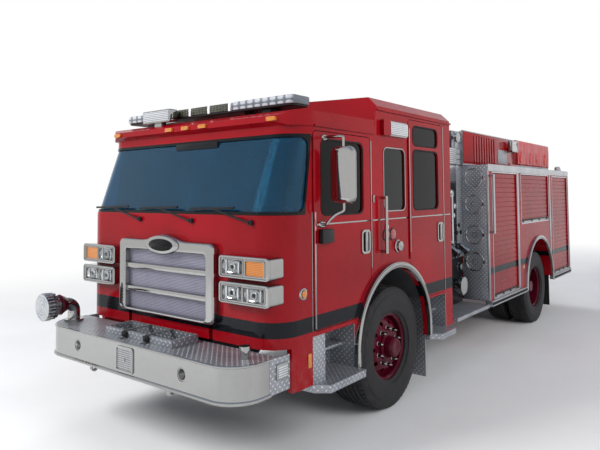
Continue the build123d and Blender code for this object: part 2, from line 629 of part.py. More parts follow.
def screen_prism(shrink):
    """What the windshield's opening takes out of the cab's front and corners."""
    low, high = WINDSHIELD_Z[0] + shrink, WINDSHIELD_Z[1] - shrink
    near, far = WINDSHIELD_SIDE_Y[0] - shrink, WINDSHIELD_SIDE_Y[1] - shrink
    front = CAB_FRONT - 100
    plane = Plane(origin=(-CAB_HALF - 50, 0, 0), x_dir=(0, 1, 0), z_dir=(1, 0, 0))
    face = plane * make_face(Polyline([(front, low), (near, low), (far, high), (front, high)], close=True))
    rear = [vertex for vertex in face.vertices() if vertex.Y > front + 10]
    return extrude(fillet(rear, SCREEN_R - shrink), 2 * CAB_HALF + 100)


def cab_body():
    """The cab's walls and roof, its floor with tunnel and wheel wells, and its fixed glass."""
    inner, outer = CAB_HALF - WALL, CAB_HALF
    skin = (inner - 1, outer + 1)
    skin_span = (-outer - 1, outer + 1)
    shell = cab_hull(0, CAB_BOTTOM, 0) - cab_hull(WALL, CAB_BOTTOM - 10, 300)
    shell -= block(skin_span, (0, APRON_BACK), (0, APRON_BOTTOM))
    shell -= screen_prism(0)
    shell -= block((-GRILLE_VENT, GRILLE_VENT), (CAB_FRONT - 1, CAB_FRONT + WALL + 1), GRILLE_OPEN[1])
    cuts = [arch(FRONT_AXLE_Y, ARCH_Z, ARCH_R, skin, CAB_BOTTOM - 1),
            door_plate(FRONT_DOOR, 0, skin), door_plate(CREW_DOOR, 0, skin),
            side_round(*SIDE_WINDOW, skin, WINDOW_R)]
    for front, opening, rear in STEPS:
        cuts.append(block(skin, (front, rear), (CAB_BOTTOM - 1, FLOOR_Z - FLOOR_T)))
    for cut in cuts:
        shell -= both(cut)
    shell -= block((-inner, inner), (CAB_REAR - WALL - 1, CAB_REAR + 1), (CAB_BOTTOM - 1, FLOOR_Z - FLOOR_T))
    shell -= both(block(LUG_SLOT, (CAB_FRONT - 1, CAB_FRONT + WALL + 1), (APRON_BOTTOM - 1, TILT_Z + 35)))
    front = shell & block(skin_span, (0, FRONT_DOOR[0][0]), (0, EAVE_Z + 1))
    side = shell & block((0, outer + 1), (FRONT_DOOR[0][0], CAB_REAR - WALL), (0, HIGH_EAVE_Z + 1))
    back = shell & block(skin_span, (CAB_REAR - WALL, CAB_REAR + 1), (0, HIGH_EAVE_Z + 1))
    keep("cab_shell", front, both(side), back)

    under = FLOOR_Z - FLOOR_T
    rear = CAB_REAR - WALL
    floor = block((-inner, inner), (CAB_FRONT + WALL, rear), (under, FLOOR_Z))
    floor &= cab_hull(WALL, CAB_BOTTOM, 0)
    floor += block((-TUNNEL_HALF, TUNNEL_HALF), (CAB_FRONT + WALL, TUNNEL_REAR), (under, TUNNEL_TOP))
    for side in (1, -1):
        x = signed(side, (TUNNEL_HALF, inner))
        floor += across(FRONT_AXLE_Y, ARCH_Z, x, WELL_R + WELL_T) & block(x, (0, CAB_REAR), (under, 2000))
        floor -= across(FRONT_AXLE_Y, ARCH_Z, signed(side, (TUNNEL_HALF, inner + 1)), WELL_R)
    hollow = TUNNEL_HALF - TUNNEL_T
    floor -= block((-hollow, hollow), (CAB_FRONT, TUNNEL_REAR - TUNNEL_T), (under - 1, TUNNEL_TOP - TUNNEL_T))
    for side in (1, -1):
        floor += block(signed(side, PIVOT_X), (CAB_FRONT + WALL, TILT_Y + 70), (under, TILT_Z + 50))
        floor -= block(signed(side, LUG_SLOT), (CAB_FRONT, TILT_Y + 71), (under - 1, TILT_Z + 35))
        floor -= across(TILT_Y, TILT_Z, signed(side, (PIN_X[0] - 1, PIN_X[1] + 1)), PIN_R + RUN_FIT)
    keep("cab_floor", floor)

    glass = cab_hull(GLASS_IN, CAB_BOTTOM, 0) - cab_hull(GLASS_IN + GLASS_T, CAB_BOTTOM - 10, 10)
    glass &= screen_prism(SEAT_FIT)
    pane_x = (outer - GLASS_IN - GLASS_T, outer - GLASS_IN)
    pane = side_round(*[inset(pair, SEAT_FIT) for pair in SIDE_WINDOW], pane_x, WINDOW_R)
    keep("cab_glass", glass, both(pane))

    low_top = EAVE_Z + ROOF_RISE
    low = side_plate([(HEADER_Y, EAVE_Z), (BROW_Y, EAVE_Z + 30), (BROW_Y + 12, EAVE_Z + 80),
                      (HEADER_Y + 50, low_top - 10), (HIGH_Y, low_top), (HIGH_Y, EAVE_Z)],
                     (-outer - 8, outer + 8))
    plan = Pos(0, HIGH_Y, EAVE_Z) * RectangleRounded(2 * outer + 16, 2 * (HIGH_Y - BROW_Y), CORNER_R + 30)
    low &= extrude(plan, ROOF_RISE + 10)
    low -= block((-inner + 60, inner - 60), (HEADER_Y + 130, HIGH_Y), (EAVE_Z - 1, low_top - ROOF_T))
    low += block((-inner, inner), (HIGH_Y - 1, HIGH_Y + WALL - 5), (EAVE_Z, low_top))
    step = side_plate([(HIGH_Y, EAVE_Z), (HIGH_Y + HIGH_LEAN, HIGH_EAVE_Z),
                       (HIGH_Y + HIGH_LEAN + WALL, HIGH_EAVE_Z), (HIGH_Y + WALL, EAVE_Z)], (-inner, inner))
    step -= low
    edge, top = HIGH_EAVE_Z + 40, HIGH_EAVE_Z + HIGH_RISE
    crown = front_plate([(-outer, HIGH_EAVE_Z), (outer, HIGH_EAVE_Z), (outer, edge), (outer - 95, top - 45),
                         (0, top), (95 - outer, top - 45), (-outer, edge)], (HIGH_Y, CAB_REAR))
    room = outer - WALL
    crown -= front_plate([(-room, HIGH_EAVE_Z - 1), (room, HIGH_EAVE_Z - 1), (room, edge - 10),
                          (room - 75, top - 45 - ROOF_T), (0, top - ROOF_T), (75 - room, top - 45 - ROOF_T),
                          (-room, edge - 10)], (HIGH_Y + HIGH_LEAN + WALL + 35, CAB_REAR - WALL))
    slope = HIGH_LEAN / (HIGH_EAVE_Z - EAVE_Z)
    crown -= side_plate([(HIGH_Y - 10, HIGH_EAVE_Z - 1), (HIGH_Y + HIGH_LEAN, HIGH_EAVE_Z - 1),
                         (HIGH_Y + HIGH_LEAN + slope * (HIGH_RISE + 5), top + 5), (HIGH_Y - 10, top + 5)],
                        (-outer - 1, outer + 1))
    drip_x = (outer, outer + 18)
    low += both(block(drip_x, (HEADER_Y + 200, HIGH_Y), (EAVE_Z, EAVE_Z + 16)))
    crown += both(block(drip_x, (HIGH_Y + HIGH_LEAN + 6, CAB_REAR), (HIGH_EAVE_Z, HIGH_EAVE_Z + 18)))
    housing = side_round((SIDE_LAMP_Y[0], SIDE_LAMP_Y[1]), SIDE_LAMP_Z, (outer, outer + 40), 12)
    keep("cab_roof", low, step, crown, both(housing))
    return low


# Cab front
def cab_front(roof):
    """Grille, lamps, wipers and the lamps on the roof."""
    half = GRILLE_HALF
    low, high = GRILLE_Z
    face = (CAB_FRONT - GRILLE_PROUD, CAB_FRONT)
    right = [(half, low), (half, high - 35), (half - 40, high), (300, high + 8), (210, GRILLE_HUMP)]
    left = [(-x, z) for x, z in reversed(right)]
    grille = front_plate(right + left, face)
    opening, open_z = GRILLE_OPEN
    grille -= front_round((-opening, opening), open_z, (face[0] - 1, face[1] + 1), 30)
    for level in GRILLE_BARS:
        grille += block((-opening - 1, opening + 1), (face[0] + 15, face[1] - 8), (level - 22, level + 22))
    oval = Plane(origin=(0, face[0], BADGE_Z), x_dir=(1, 0, 0), z_dir=(0, -1, 0)) * Ellipse(215, 50)
    grille += extrude(oval, 14)
    keep("grille", grille)
    half = opening - SEAT_FIT
    keep("grille_screen", front_round((-half, half), inset(open_z, SEAT_FIT), (face[1] - 8, face[1]), 30))

    hull = cab_hull(0, CAB_BOTTOM, 0)
    bezels, clear, amber = [], [], []
    for row, (z, lamps) in enumerate(BEZELS):
        bezel = front_round(BEZEL_X, z, (BEZEL_Y, CAB_FRONT + CORNER_R), 25) - hull
        for place, reach in enumerate(lamps):
            x = (BEZEL_X[0] + reach[0], BEZEL_X[0] + reach[1])
            inner = inset(z, 22)
            bezel -= front_round(x, inner, (BEZEL_Y - 1, BEZEL_Y + 16), 12)
            lens = front_round(inset(x, SEAT_FIT), inset(inner, SEAT_FIT), (BEZEL_Y + 3, BEZEL_Y + 16), 12)
            (amber if (row, place) == (0, 1) else clear).extend(both(lens))
        bezels += both(bezel)
    keep("lamp_bezels", bezels)
    lamp = side_round((SIDE_LAMP_Y[1], SIDE_LAMP_Y[2]), SIDE_LAMP_Z, (CAB_HALF, CAB_HALF + 44), 12)
    keep("clear_lamps", clear, both(lamp))
    for x in MARKER_XS:
        lens = front_round((x - 45, x + 45), (EAVE_Z + 36, EAVE_Z + 68), (BROW_Y - 12, HEADER_Y + 40), 10)
        amber.append(lens - roof)
    marker = rod((CAB_HALF, 705, 1250), (CAB_HALF + 14, 705, 1250), 28)
    keep("amber_lamps", amber, both(marker))

    arms = []
    lean = (HEADER_Y - CAB_FRONT) / (HEADER_Z - SILL_Z)
    for x in WIPER_XS:
        pivot = (x, CAB_FRONT, SILL_Z - 40)
        tip_z = SILL_Z + 62
        tip = (x - 430, CAB_FRONT + lean * (tip_z - SILL_Z) - 26, tip_z)
        head = (x, CAB_FRONT - 26, SILL_Z - 40)
        wiper = rod(pivot, head, 20) + rod(head, tip, 8)
        middle = Vector(*tip)
        wiper += rod((middle.X - 250, middle.Y, middle.Z - 6), (middle.X + 250, middle.Y, middle.Z + 6), 9)
        arms.append(wiper)
    keep("wipers", arms)

    bar = block((-BAR_HALF, BAR_HALF), BAR_Y, BAR_Z)
    bar = fillet(bar.edges().filter_by(Axis.Z), 60)
    for x in (-760, 760):
        bar += block((x - 60, x + 60), inset(BAR_Y, 40), (EAVE_Z + ROOF_RISE - 30, BAR_Z[0])) - roof
    brow = front_round(BROW_LAMP_X, BROW_LAMP_Z, (BROW_Y + 45, BAR_Y[0] - 20), 18)
    foot = inset(BROW_LAMP_X, 150)
    brow += block(foot, (BROW_Y + 70, BAR_Y[0] - 30), (EAVE_Z + 90, BROW_LAMP_Z[0])) - roof
    keep("roof_lamps", bar, brow)


# Cab sides
def cab_sides():
    """Trim, grab rails, steps, the four doors and what is fixed to them."""
    outer = CAB_HALF
    band = arch(FRONT_AXLE_Y, ARCH_Z, ARCH_R + BAND_W, (outer, outer + BAND_PROUD), CAB_BOTTOM)
    band -= arch(FRONT_AXLE_Y, ARCH_Z, ARCH_R, (outer - 1, outer + BAND_PROUD + 1), CAB_BOTTOM - 1)
    rail = grab_rail(outer + 52, 1870, (1457, 1975), (52, 0))
    post = grab_rail(outer - 50, CAB_REAR + 36, (1480, 1975), (0, 36), 14)
    keep("cab_trim", both(band), both(rail), both(post))

    inner, under, top = STEP_INNER, CAB_BOTTOM, FLOOR_Z - FLOOR_T
    steps = []
    for front, opening, rear in STEPS:
        box = block((inner, outer), (front, rear), (under, top))
        box -= block((inner + 8, outer + 1), (opening + 8, rear - 8), (under - 1, top + 1))
        box += block((inner, inner + 140), (opening, rear), (under + 170, under + 190))
        tread = plan_plate([(inner, front), (outer, front), (outer + STEP_OUT, front + 80),
                            (outer + STEP_OUT, rear), (inner, rear)], (under - STEP_T, under))
        steps += both(box + tread)
    flap_y = STEPS[1][0]
    steps += both(block((inner, outer - WALL - 4), (flap_y - 8, flap_y), (110, top)))
    keep("cab_steps", steps)

    doors = (("front", FRONT_DOOR, FRONT_WINDOWS), ("crew", CREW_DOOR, CREW_WINDOWS))
    for name, door, windows in doors:
        panel = door_plate(door, GAP, (outer - WALL, outer))
        hinge_z = (hinge_foot(door[0][0]) + GAP, door[1][1] - GAP - DOOR_CORNER)
        barrel_y = door[0][0]
        panes = []
        for window in windows:
            panel -= side_round(*window, (outer - WALL - 1, outer + 1), WINDOW_R)
            panes.append(side_round(*[inset(pair, SEAT_FIT) for pair in window],
                                    (outer - GLASS_IN - GLASS_T, outer - GLASS_IN), WINDOW_R))
        leaf = block((outer, outer + 4), (barrel_y + GAP, barrel_y + GAP + 28), hinge_z)
        panel += leaf + rod((HINGE_X, barrel_y, hinge_z[0]), (HINGE_X, barrel_y, hinge_z[1]), HINGE_R)
        panel += block((outer + 0.5, outer + 4), (barrel_y, barrel_y + GAP), hinge_z)
        handle_y = door[0][1] - HANDLE_BACK
        y, z = (handle_y - 70, handle_y + 70), (HANDLE_Z - 100, HANDLE_Z + 100)
        bezel = side_round(y, z, (outer, outer + 8), 40)
        bezel -= side_round(inset(y, 22), inset(z, 22), (outer - 1, outer + 9), 28)
        bezel += side_round(inset(y, 54), inset(z, 10), (outer + 4, outer + 18), 12)
        fittings = [bezel]
        if name == "front":
            fittings.append(mirror_head())
        for index, side in enumerate(("left", "right")):
            keep(f"{name}_door_{side}", both(panel)[index])
            keep(f"{name}_door_{side}_glass", *[both(pane)[index] for pane in panes])
            keep(f"{name}_door_{side}_fittings", *[both(piece)[index] for piece in fittings])


def hinge_foot(y):
    """Height at which a door's front edge ends: its sill, or the wheel arch above it."""
    reach = DOOR_ARCH_R ** 2 - (y - FRONT_AXLE_Y) ** 2
    if reach <= 0:
        return FLOOR_Z
    return ARCH_Z + sqrt(reach) + DOOR_CORNER


def mirror_head():
    """A door mirror: its shell, the bent arm and two feet."""
    head = block(MIRROR_X, MIRROR_Y, MIRROR_Z)
    head = fillet(head.edges().filter_by(Axis.Y), 60)
    middle_x, middle_y = sum(MIRROR_X) / 2, sum(MIRROR_Y) / 2
    top, foot = MIRROR_TOP_FOOT, MIRROR_LOW_FOOT
    arm = rod((CAB_HALF + 5, *top), (middle_x, middle_y, top[1]), 12)
    arm += Pos(middle_x, middle_y, top[1]) * Sphere(12)
    arm += rod((middle_x, middle_y, top[1]), (middle_x, middle_y, MIRROR_Z[1] - 5), 12)
    arm += rod((CAB_HALF + 5, *foot), (CAB_HALF + 60, foot[0], foot[1] + 10), 12)
    arm += Pos(CAB_HALF + 60, foot[0], foot[1] + 10) * Sphere(12)
    arm += rod((CAB_HALF + 60, foot[0], foot[1] + 10), (middle_x, middle_y, MIRROR_Z[0] + 5), 12)
    for y, z in (top, foot):
        arm += rod((CAB_HALF, y, z), (CAB_HALF + 10, y, z), 26)
    return head + arm


# Cab inside
def cab_inside():
    """Dash with the steering column, the steering wheel and the seats."""
    front = CAB_FRONT + WALL + 30
    dash = side_plate([(front, TUNNEL_TOP), (DASH_Y, TUNNEL_TOP), (DASH_Y + 10, TUNNEL_TOP + 80),
                       (DASH_Y - 120, SILL_Z - 20), (front, SILL_Z - 20)], (-1120, 1120))
    dash &= cab_hull(WALL, CAB_BOTTOM, 0)
    hub, lean = Vector(*WHEEL_HUB), Vector(0, 0.5, sqrt(0.75))
    foot = hub - lean * 300
    dash += rod(tuple(foot), tuple(hub - lean * 26), 32) + rod(tuple(foot), tuple(hub), COLUMN_R)
    dash += block((hub.X - 40, hub.X + 40), (DASH_Y - 40, foot.Y + 60), (TUNNEL_TOP, TUNNEL_TOP + 50))
    keep("dash", dash)

    plane = Plane(origin=hub, x_dir=(1, 0, 0), z_dir=lean)
    wheel = Torus(225, 15) + Cylinder(55, 40)
    for turn in (90, 210, 330):
        wheel += Rot(0, 0, turn) * Pos(130, 0, 0) * Box(180, 30, 12)
    wheel -= Pos(0, 0, -20) * Cylinder(COLUMN_R + RUN_FIT, 50)
    keep("steering_wheel", plane * wheel)

    seats = []
    for x, y, base, turn in SEAT_TABLE:
        seat = block((-190, 190), (120, 380), (base, SEAT_Z - 130))
        cushion = block((-245, 245), (0, 440), (SEAT_Z - 130, SEAT_Z))
        cushion = fillet(cushion.edges().filter_by(Axis.X), 40)
        back = block((-235, 235), (350, 450), (SEAT_Z - 60, SEAT_Z + 640))
        back = fillet(back.edges().filter_by(Axis.Y), 70)
        piece = seat + cushion + back
        if turn:
            piece = mirror(piece, about=Plane.XZ)
        wells = across(FRONT_AXLE_Y, ARCH_Z, (-CAB_HALF, CAB_HALF), WELL_R + WELL_T)
        seats.append(Pos(x, y, 0) * piece - wells)
    keep("seats", seats)


# Pump and body
def pump():
    """Pump house with its tower, panels, outlets, inlets, bottle doors and boards."""
    house = block((-PUMP_HALF, PUMP_HALF), PUMP_Y, (PUMP_BOTTOM, PUMP_TOP))
    house += block((-PUMP_HALF, PUMP_HALF), TOWER_Y, (PUMP_TOP, TOWER_TOP))
    house -= block((-RAIL_X, RAIL_X), (PUMP_Y[0] - 1, PUMP_Y[1] + 1), (PUMP_BOTTOM - 1, RAIL_TOP))
    keep("pump_house", house)

    face = (PUMP_HALF, PUMP_HALF + PANEL_T)
    panel_y = (PUMP_Y[0] + 40, PUMP_Y[1])
    panels = [block(face, panel_y, PANEL_Z), ribbed(panel_y, RIBBED_Z, PUMP_HALF, PANEL_T + 8),
              block(face, panel_y, SATIN_Z)]
    keep("pump_panels", *[both(panel) for panel in panels])

    out = PUMP_HALF + PANEL_T
    pieces = []
    for y in OUTLET_YS:
        knee = (out + 80, y, OUTLET_Z)
        elbow = rod((out, y, OUTLET_Z), knee, 36) + Pos(*knee) * Sphere(42)
        elbow += rod(knee, (out + 150, y, OUTLET_Z - 50), 42)
        elbow += rod((out + 150, y, OUTLET_Z - 50), (out + 185, y, OUTLET_Z - 75), 54)
        elbow += rod((out, y, OUTLET_Z), (out + 10, y, OUTLET_Z), 62)
        pieces += both(elbow)
    inlet = across(STEAMER_Y, STEAMER_Z, (PUMP_HALF, out + 130), 78)
    inlet += across(STEAMER_Y, STEAMER_Z, (PUMP_HALF, PUMP_HALF + 14), 125)
    inlet += across(STEAMER_Y, STEAMER_Z, (out + 130, out + 200), 102)
    for index in range(3):
        lug = Vector(0, 102, 0).rotate(Axis.X, 120 * index + 30)
        inlet += rod((out + 150, STEAMER_Y + lug.Y, STEAMER_Z + lug.Z), (out + 185, STEAMER_Y + lug.Y,
                                                                      STEAMER_Z + lug.Z), 16)
    keep("pump_fittings", pieces, both(inlet))

    lids = []
    for z in BOTTLE_ZS:
        lid = rod((BOTTLE_X, BODY_Y[0], z), (BOTTLE_X, BODY_Y[0] - 14, z), BOTTLE_R)
        lid += rod((BOTTLE_X, BODY_Y[0] - 14, z), (BOTTLE_X, BODY_Y[0] - 20, z), BOTTLE_R - 16)
        lids += both(lid)
    keep("bottle_doors", lids)

    board = block((RAIL_X, BOARD_HALF), PUMP_Y, (PUMP_BOTTOM - BOARD_T, PUMP_BOTTOM))
    tail = block((-BOARD_HALF, BOARD_HALF), (RAIL_Y[1], LENGTH), TAIL_Z)
    keep("step_boards", both(board), tail)


def ribbed(y, z, x, depth):
    """A curtain of slats across Y, its ribs standing out of the plane at X = x."""
    count = max(2, round((z[1] - z[0]) / SLAT))
    pitch = (z[1] - z[0]) / count
    outline = [(x, z[0])]
    for index in range(count):
        low = z[0] + index * pitch
        outline += [(x + depth - 5, low), (x + depth, low + 5), (x + depth, low + pitch - 7)]
    outline += [(x + depth - 5, z[1]), (x, z[1])]
    return front_plate(outline, y)


def body():
    """Side compartments, tank and hose bed, shutters, trim, lamps, cover and flaps."""
    outer = BODY_HALF
    side = block((BODY_INNER, outer), BODY_Y, BODY_Z)
    side -= arch(REAR_AXLE_Y, BODY_ARCH_Z, BODY_ARCH_R, (BODY_INNER - 1, outer + 1), BODY_Z[0] - 20)
    curtains = []
    for y, z in SHUTTERS:
        side -= block((outer - POCKET, outer + 1), y, z)
        curtain = ribbed(y, z, outer - POCKET, POCKET - SHUTTER_SET)
        curtain += block((outer - POCKET, outer - 6), (y[0] + 8, y[1] - 8), (z[0], z[0] + 55))
        curtains += both(curtain)
    keep("body_sides", both(side))
    half, z = REAR_SHUTTER
    turn = Rot(0, 0, 90)
    rear = turn * ribbed((-half, half), z, BODY_Y[1] - POCKET, POCKET - SHUTTER_SET)
    keep("shutters", curtains, rear)

    inner = BODY_INNER
    bed = block((-inner, inner), BODY_Y, (RAIL_TOP, BED_FLOOR))
    for side_of in (1, -1):
        bed -= across(REAR_AXLE_Y, BODY_ARCH_Z, signed(side_of, (RAIL_X + 15, inner + 1)), BODY_ARCH_R)
        wall_x = signed(side_of, (inner - BED_WALL, inner))
        bed += block(wall_x, (BODY_Y[0], BED_REAR), (BED_FLOOR, BODY_Z[1] + BED_WALL))
        ledge = signed(side_of, (inner, BED_HALF))
        bed += block(ledge, (BODY_Y[0], BED_REAR), (BODY_Z[1], BODY_Z[1] + BED_WALL))
        high = signed(side_of, (BED_HALF - BED_WALL, BED_HALF))
        bed += block(high, (BODY_Y[0], BED_REAR), (BODY_Z[1], BED_TOP))
    bed += block((-inner, inner), (BODY_Y[0], BODY_Y[0] + BED_WALL), (BED_FLOOR, BODY_Z[1] + BED_WALL))
    bed += block((-BED_HALF, BED_HALF), (BODY_Y[0], BODY_Y[0] + BED_WALL), (BODY_Z[1], BED_TOP))
    bed += block((-BED_HALF, BED_HALF), (BODY_Y[0], COVER_Y[0] - 20), (BED_TOP - BED_WALL, BED_TOP))
    bed += block((-BED_HALF, BED_HALF), (BED_REAR - BED_WALL, BED_REAR), (BODY_Z[1] + 1, BODY_Z[1] + 180))
    bed += block((-inner, inner), (BED_REAR - BED_WALL, BED_REAR), (BED_FLOOR, BODY_Z[1] + 2))
    bed -= block((-half, half), (BODY_Y[1] - POCKET, BODY_Y[1] + 1), z)
    keep("hose_bed", bed)

    over = BED_HALF + SEAT_FIT
    low, high = BED_TOP - COVER_DROP, BED_TOP
    cover = front_plate([(-over - COVER_T, low), (-over - COVER_T, high + COVER_T), (-over / 2, high + 32),
                         (over / 2, high + 32), (over + COVER_T, high + COVER_T), (over + COVER_T, low),
                         (over, low), (over, high), (-over, high), (-over, low)], COVER_Y)
    keep("hose_cover", cover)

    trim = []
    cap = block((outer, outer + 7), BODY_Y, (BODY_Z[1] - 66, BODY_Z[1]))
    cap += block((outer - 90, outer + 7), BODY_Y, (BODY_Z[1], BODY_Z[1] + 6))
    band = arch(REAR_AXLE_Y, BODY_ARCH_Z, BODY_ARCH_R + BAND_W, (outer, outer + 25), BODY_Z[0] - 60)
    band -= arch(REAR_AXLE_Y, BODY_ARCH_Z, BODY_ARCH_R, (outer - 1, outer + 26), BODY_Z[0] - 61)
    trim += both(cap) + both(band)
    reach = BODY_ARCH_R + BAND_W + 5
    for y in ((BODY_Y[0], REAR_AXLE_Y - reach), (REAR_AXLE_Y + reach, RAIL_Y[1] - 5)):
        trim += both(block((outer - 45, outer + 30), y, (BODY_Z[0] - 68, BODY_Z[0])))
    trim += both(grab_rail(outer + 52, BODY_RAIL_Y, BODY_RAIL_Z, (52, 0)))
    keep("body_trim", trim)

    lamps = both(block((BED_HALF, BED_HALF + 80), BED_LAMP_Y, BED_LAMP_Z))
    for z in REAR_LAMP_ZS:
        lamps += both(block(REAR_LAMP_X, (BODY_Y[1], BODY_Y[1] + 25), z))
    lamps += both(rod((*BEACON, BODY_Z[1] + 6), (*BEACON, BODY_Z[1] + BEACON_H), BEACON_R))
    keep("body_lamps", lamps)

    flap_y = REAR_AXLE_Y + BODY_ARCH_R + 60
    flap = block((REAR_OUTER_X - 640, REAR_OUTER_X), (flap_y, flap_y + 10), (150, BODY_Z[0]))
    keep("mud_flaps", both(flap))


def main():
    """Make every node, move the vehicle to its middle and write one file for each node."""
    chassis()
    axles()
    wheels()
    bumper()
    roof = cab_body()
    cab_front(roof)
    cab_sides()
    cab_inside()
    pump()
    body()
    os.makedirs("parts", exist_ok=True)
    shift = Pos(0, -(LENGTH + SUCTION_FACE_Y) / 2, 0)
    for name, solids in NODES.items():
        export_step(Compound(children=[shift * solid for solid in solids]), f"parts/{name}.step")


if __name__ == "__main__":
    main()
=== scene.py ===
"""A red fire engine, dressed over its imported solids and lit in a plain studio."""

from __future__ import annotations

import json
import logging
import math
from dataclasses import dataclass
from enum import Enum

import bmesh
import bpy
from mathutils import Matrix, Vector

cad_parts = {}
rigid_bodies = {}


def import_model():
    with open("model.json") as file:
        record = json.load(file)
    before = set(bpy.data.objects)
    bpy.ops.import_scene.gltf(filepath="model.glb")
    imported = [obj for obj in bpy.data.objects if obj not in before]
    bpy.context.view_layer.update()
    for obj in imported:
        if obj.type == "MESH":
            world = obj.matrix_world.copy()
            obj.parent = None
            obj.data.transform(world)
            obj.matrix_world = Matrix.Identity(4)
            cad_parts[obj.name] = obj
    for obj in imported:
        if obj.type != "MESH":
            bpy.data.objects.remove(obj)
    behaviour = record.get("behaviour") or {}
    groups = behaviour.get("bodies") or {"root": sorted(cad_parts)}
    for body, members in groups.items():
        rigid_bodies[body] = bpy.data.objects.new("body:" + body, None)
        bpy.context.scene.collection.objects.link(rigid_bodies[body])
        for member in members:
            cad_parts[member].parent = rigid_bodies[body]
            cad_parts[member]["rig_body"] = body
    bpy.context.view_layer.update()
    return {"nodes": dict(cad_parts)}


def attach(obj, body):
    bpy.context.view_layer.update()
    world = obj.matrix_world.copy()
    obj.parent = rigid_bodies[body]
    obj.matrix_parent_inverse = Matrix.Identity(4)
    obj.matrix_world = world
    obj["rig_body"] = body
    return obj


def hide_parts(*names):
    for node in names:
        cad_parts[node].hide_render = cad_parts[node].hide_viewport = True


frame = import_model()

LOG = logging.getLogger("fire_engine")

Span = tuple[float, float]
Point = tuple[float, float, float]
Outline = list[tuple[float, float]]
Colour = tuple[float, float, float, float]
Part = bmesh.types.BMesh
Socket = bpy.types.NodeSocket

FACE = -4.205                   # Y of the bumper's front face; stations are counted back from it
AXIS_NAMES = "XYZ"
OUTWARD, UPWARD = (1.0, 0.0, 0.0), (0.0, 0.0, 1.0)
AHEAD, BACKWARD = (0.0, -1.0, 0.0), (0.0, 1.0, 0.0)
ARCH_BEAD = 0.023               # radius of the beads on the wheel arches
DIAGONAL = 0.7071               # share of each coordinate along a slanting row


def station(y: float) -> float:
    """Y of a place that is y metres behind the bumper's face."""
    return FACE + y


def srgb(red: int, green: int, blue: int) -> Colour:
    """A linear colour from 8-bit screen values.

    Args:
        red: Red, 0 to 255.
        green: Green, 0 to 255.
        blue: Blue, 0 to 255.

    Returns:
        The linear colour with full alpha.
    """
    parts = []
    for value in (red, green, blue):
        part = value / 255
        parts.append(part / 12.92 if part <= 0.04045 else ((part + 0.055) / 1.055) ** 2.4)
    return parts[0], parts[1], parts[2], 1.0


def shaded(colour: Colour, share: float, lift: float = 0.0) -> Colour:
    """A colour multiplied by a share, then made paler by a little more."""
    return tuple(min(1.0, part * share + lift) for part in colour[:3]) + (1.0,)


class Side(Enum):
    """The vehicle's two sides, by the sign of X."""

    LEFT = 1
    RIGHT = -1

    @property
    def label(self) -> str:
        """The side's name in piece names."""
        return self.name.lower()


def both(*names: str) -> tuple[str, ...]:
    """The left and the right one of each name."""
    return tuple(f"{name}_{side.label}" for name in names for side in Side)


DOORS = both("front_door", "crew_door")


def placed(name: str, data: bpy.types.ID) -> bpy.types.Object:
    """A new object in the scene."""
    found = bpy.data.objects.new(name, data)
    bpy.context.scene.collection.objects.link(found)
    return found


def node_in(tree: bpy.types.NodeTree, kind: str) -> bpy.types.Node:
    """A new node, by its type's name without the common first word."""
    return tree.nodes.new("ShaderNode" + kind)


def wire(tree: bpy.types.NodeTree, *links: tuple[Socket, Socket]) -> None:
    """Link outputs to inputs."""
    for output, target in links:
        tree.links.new(output, target)


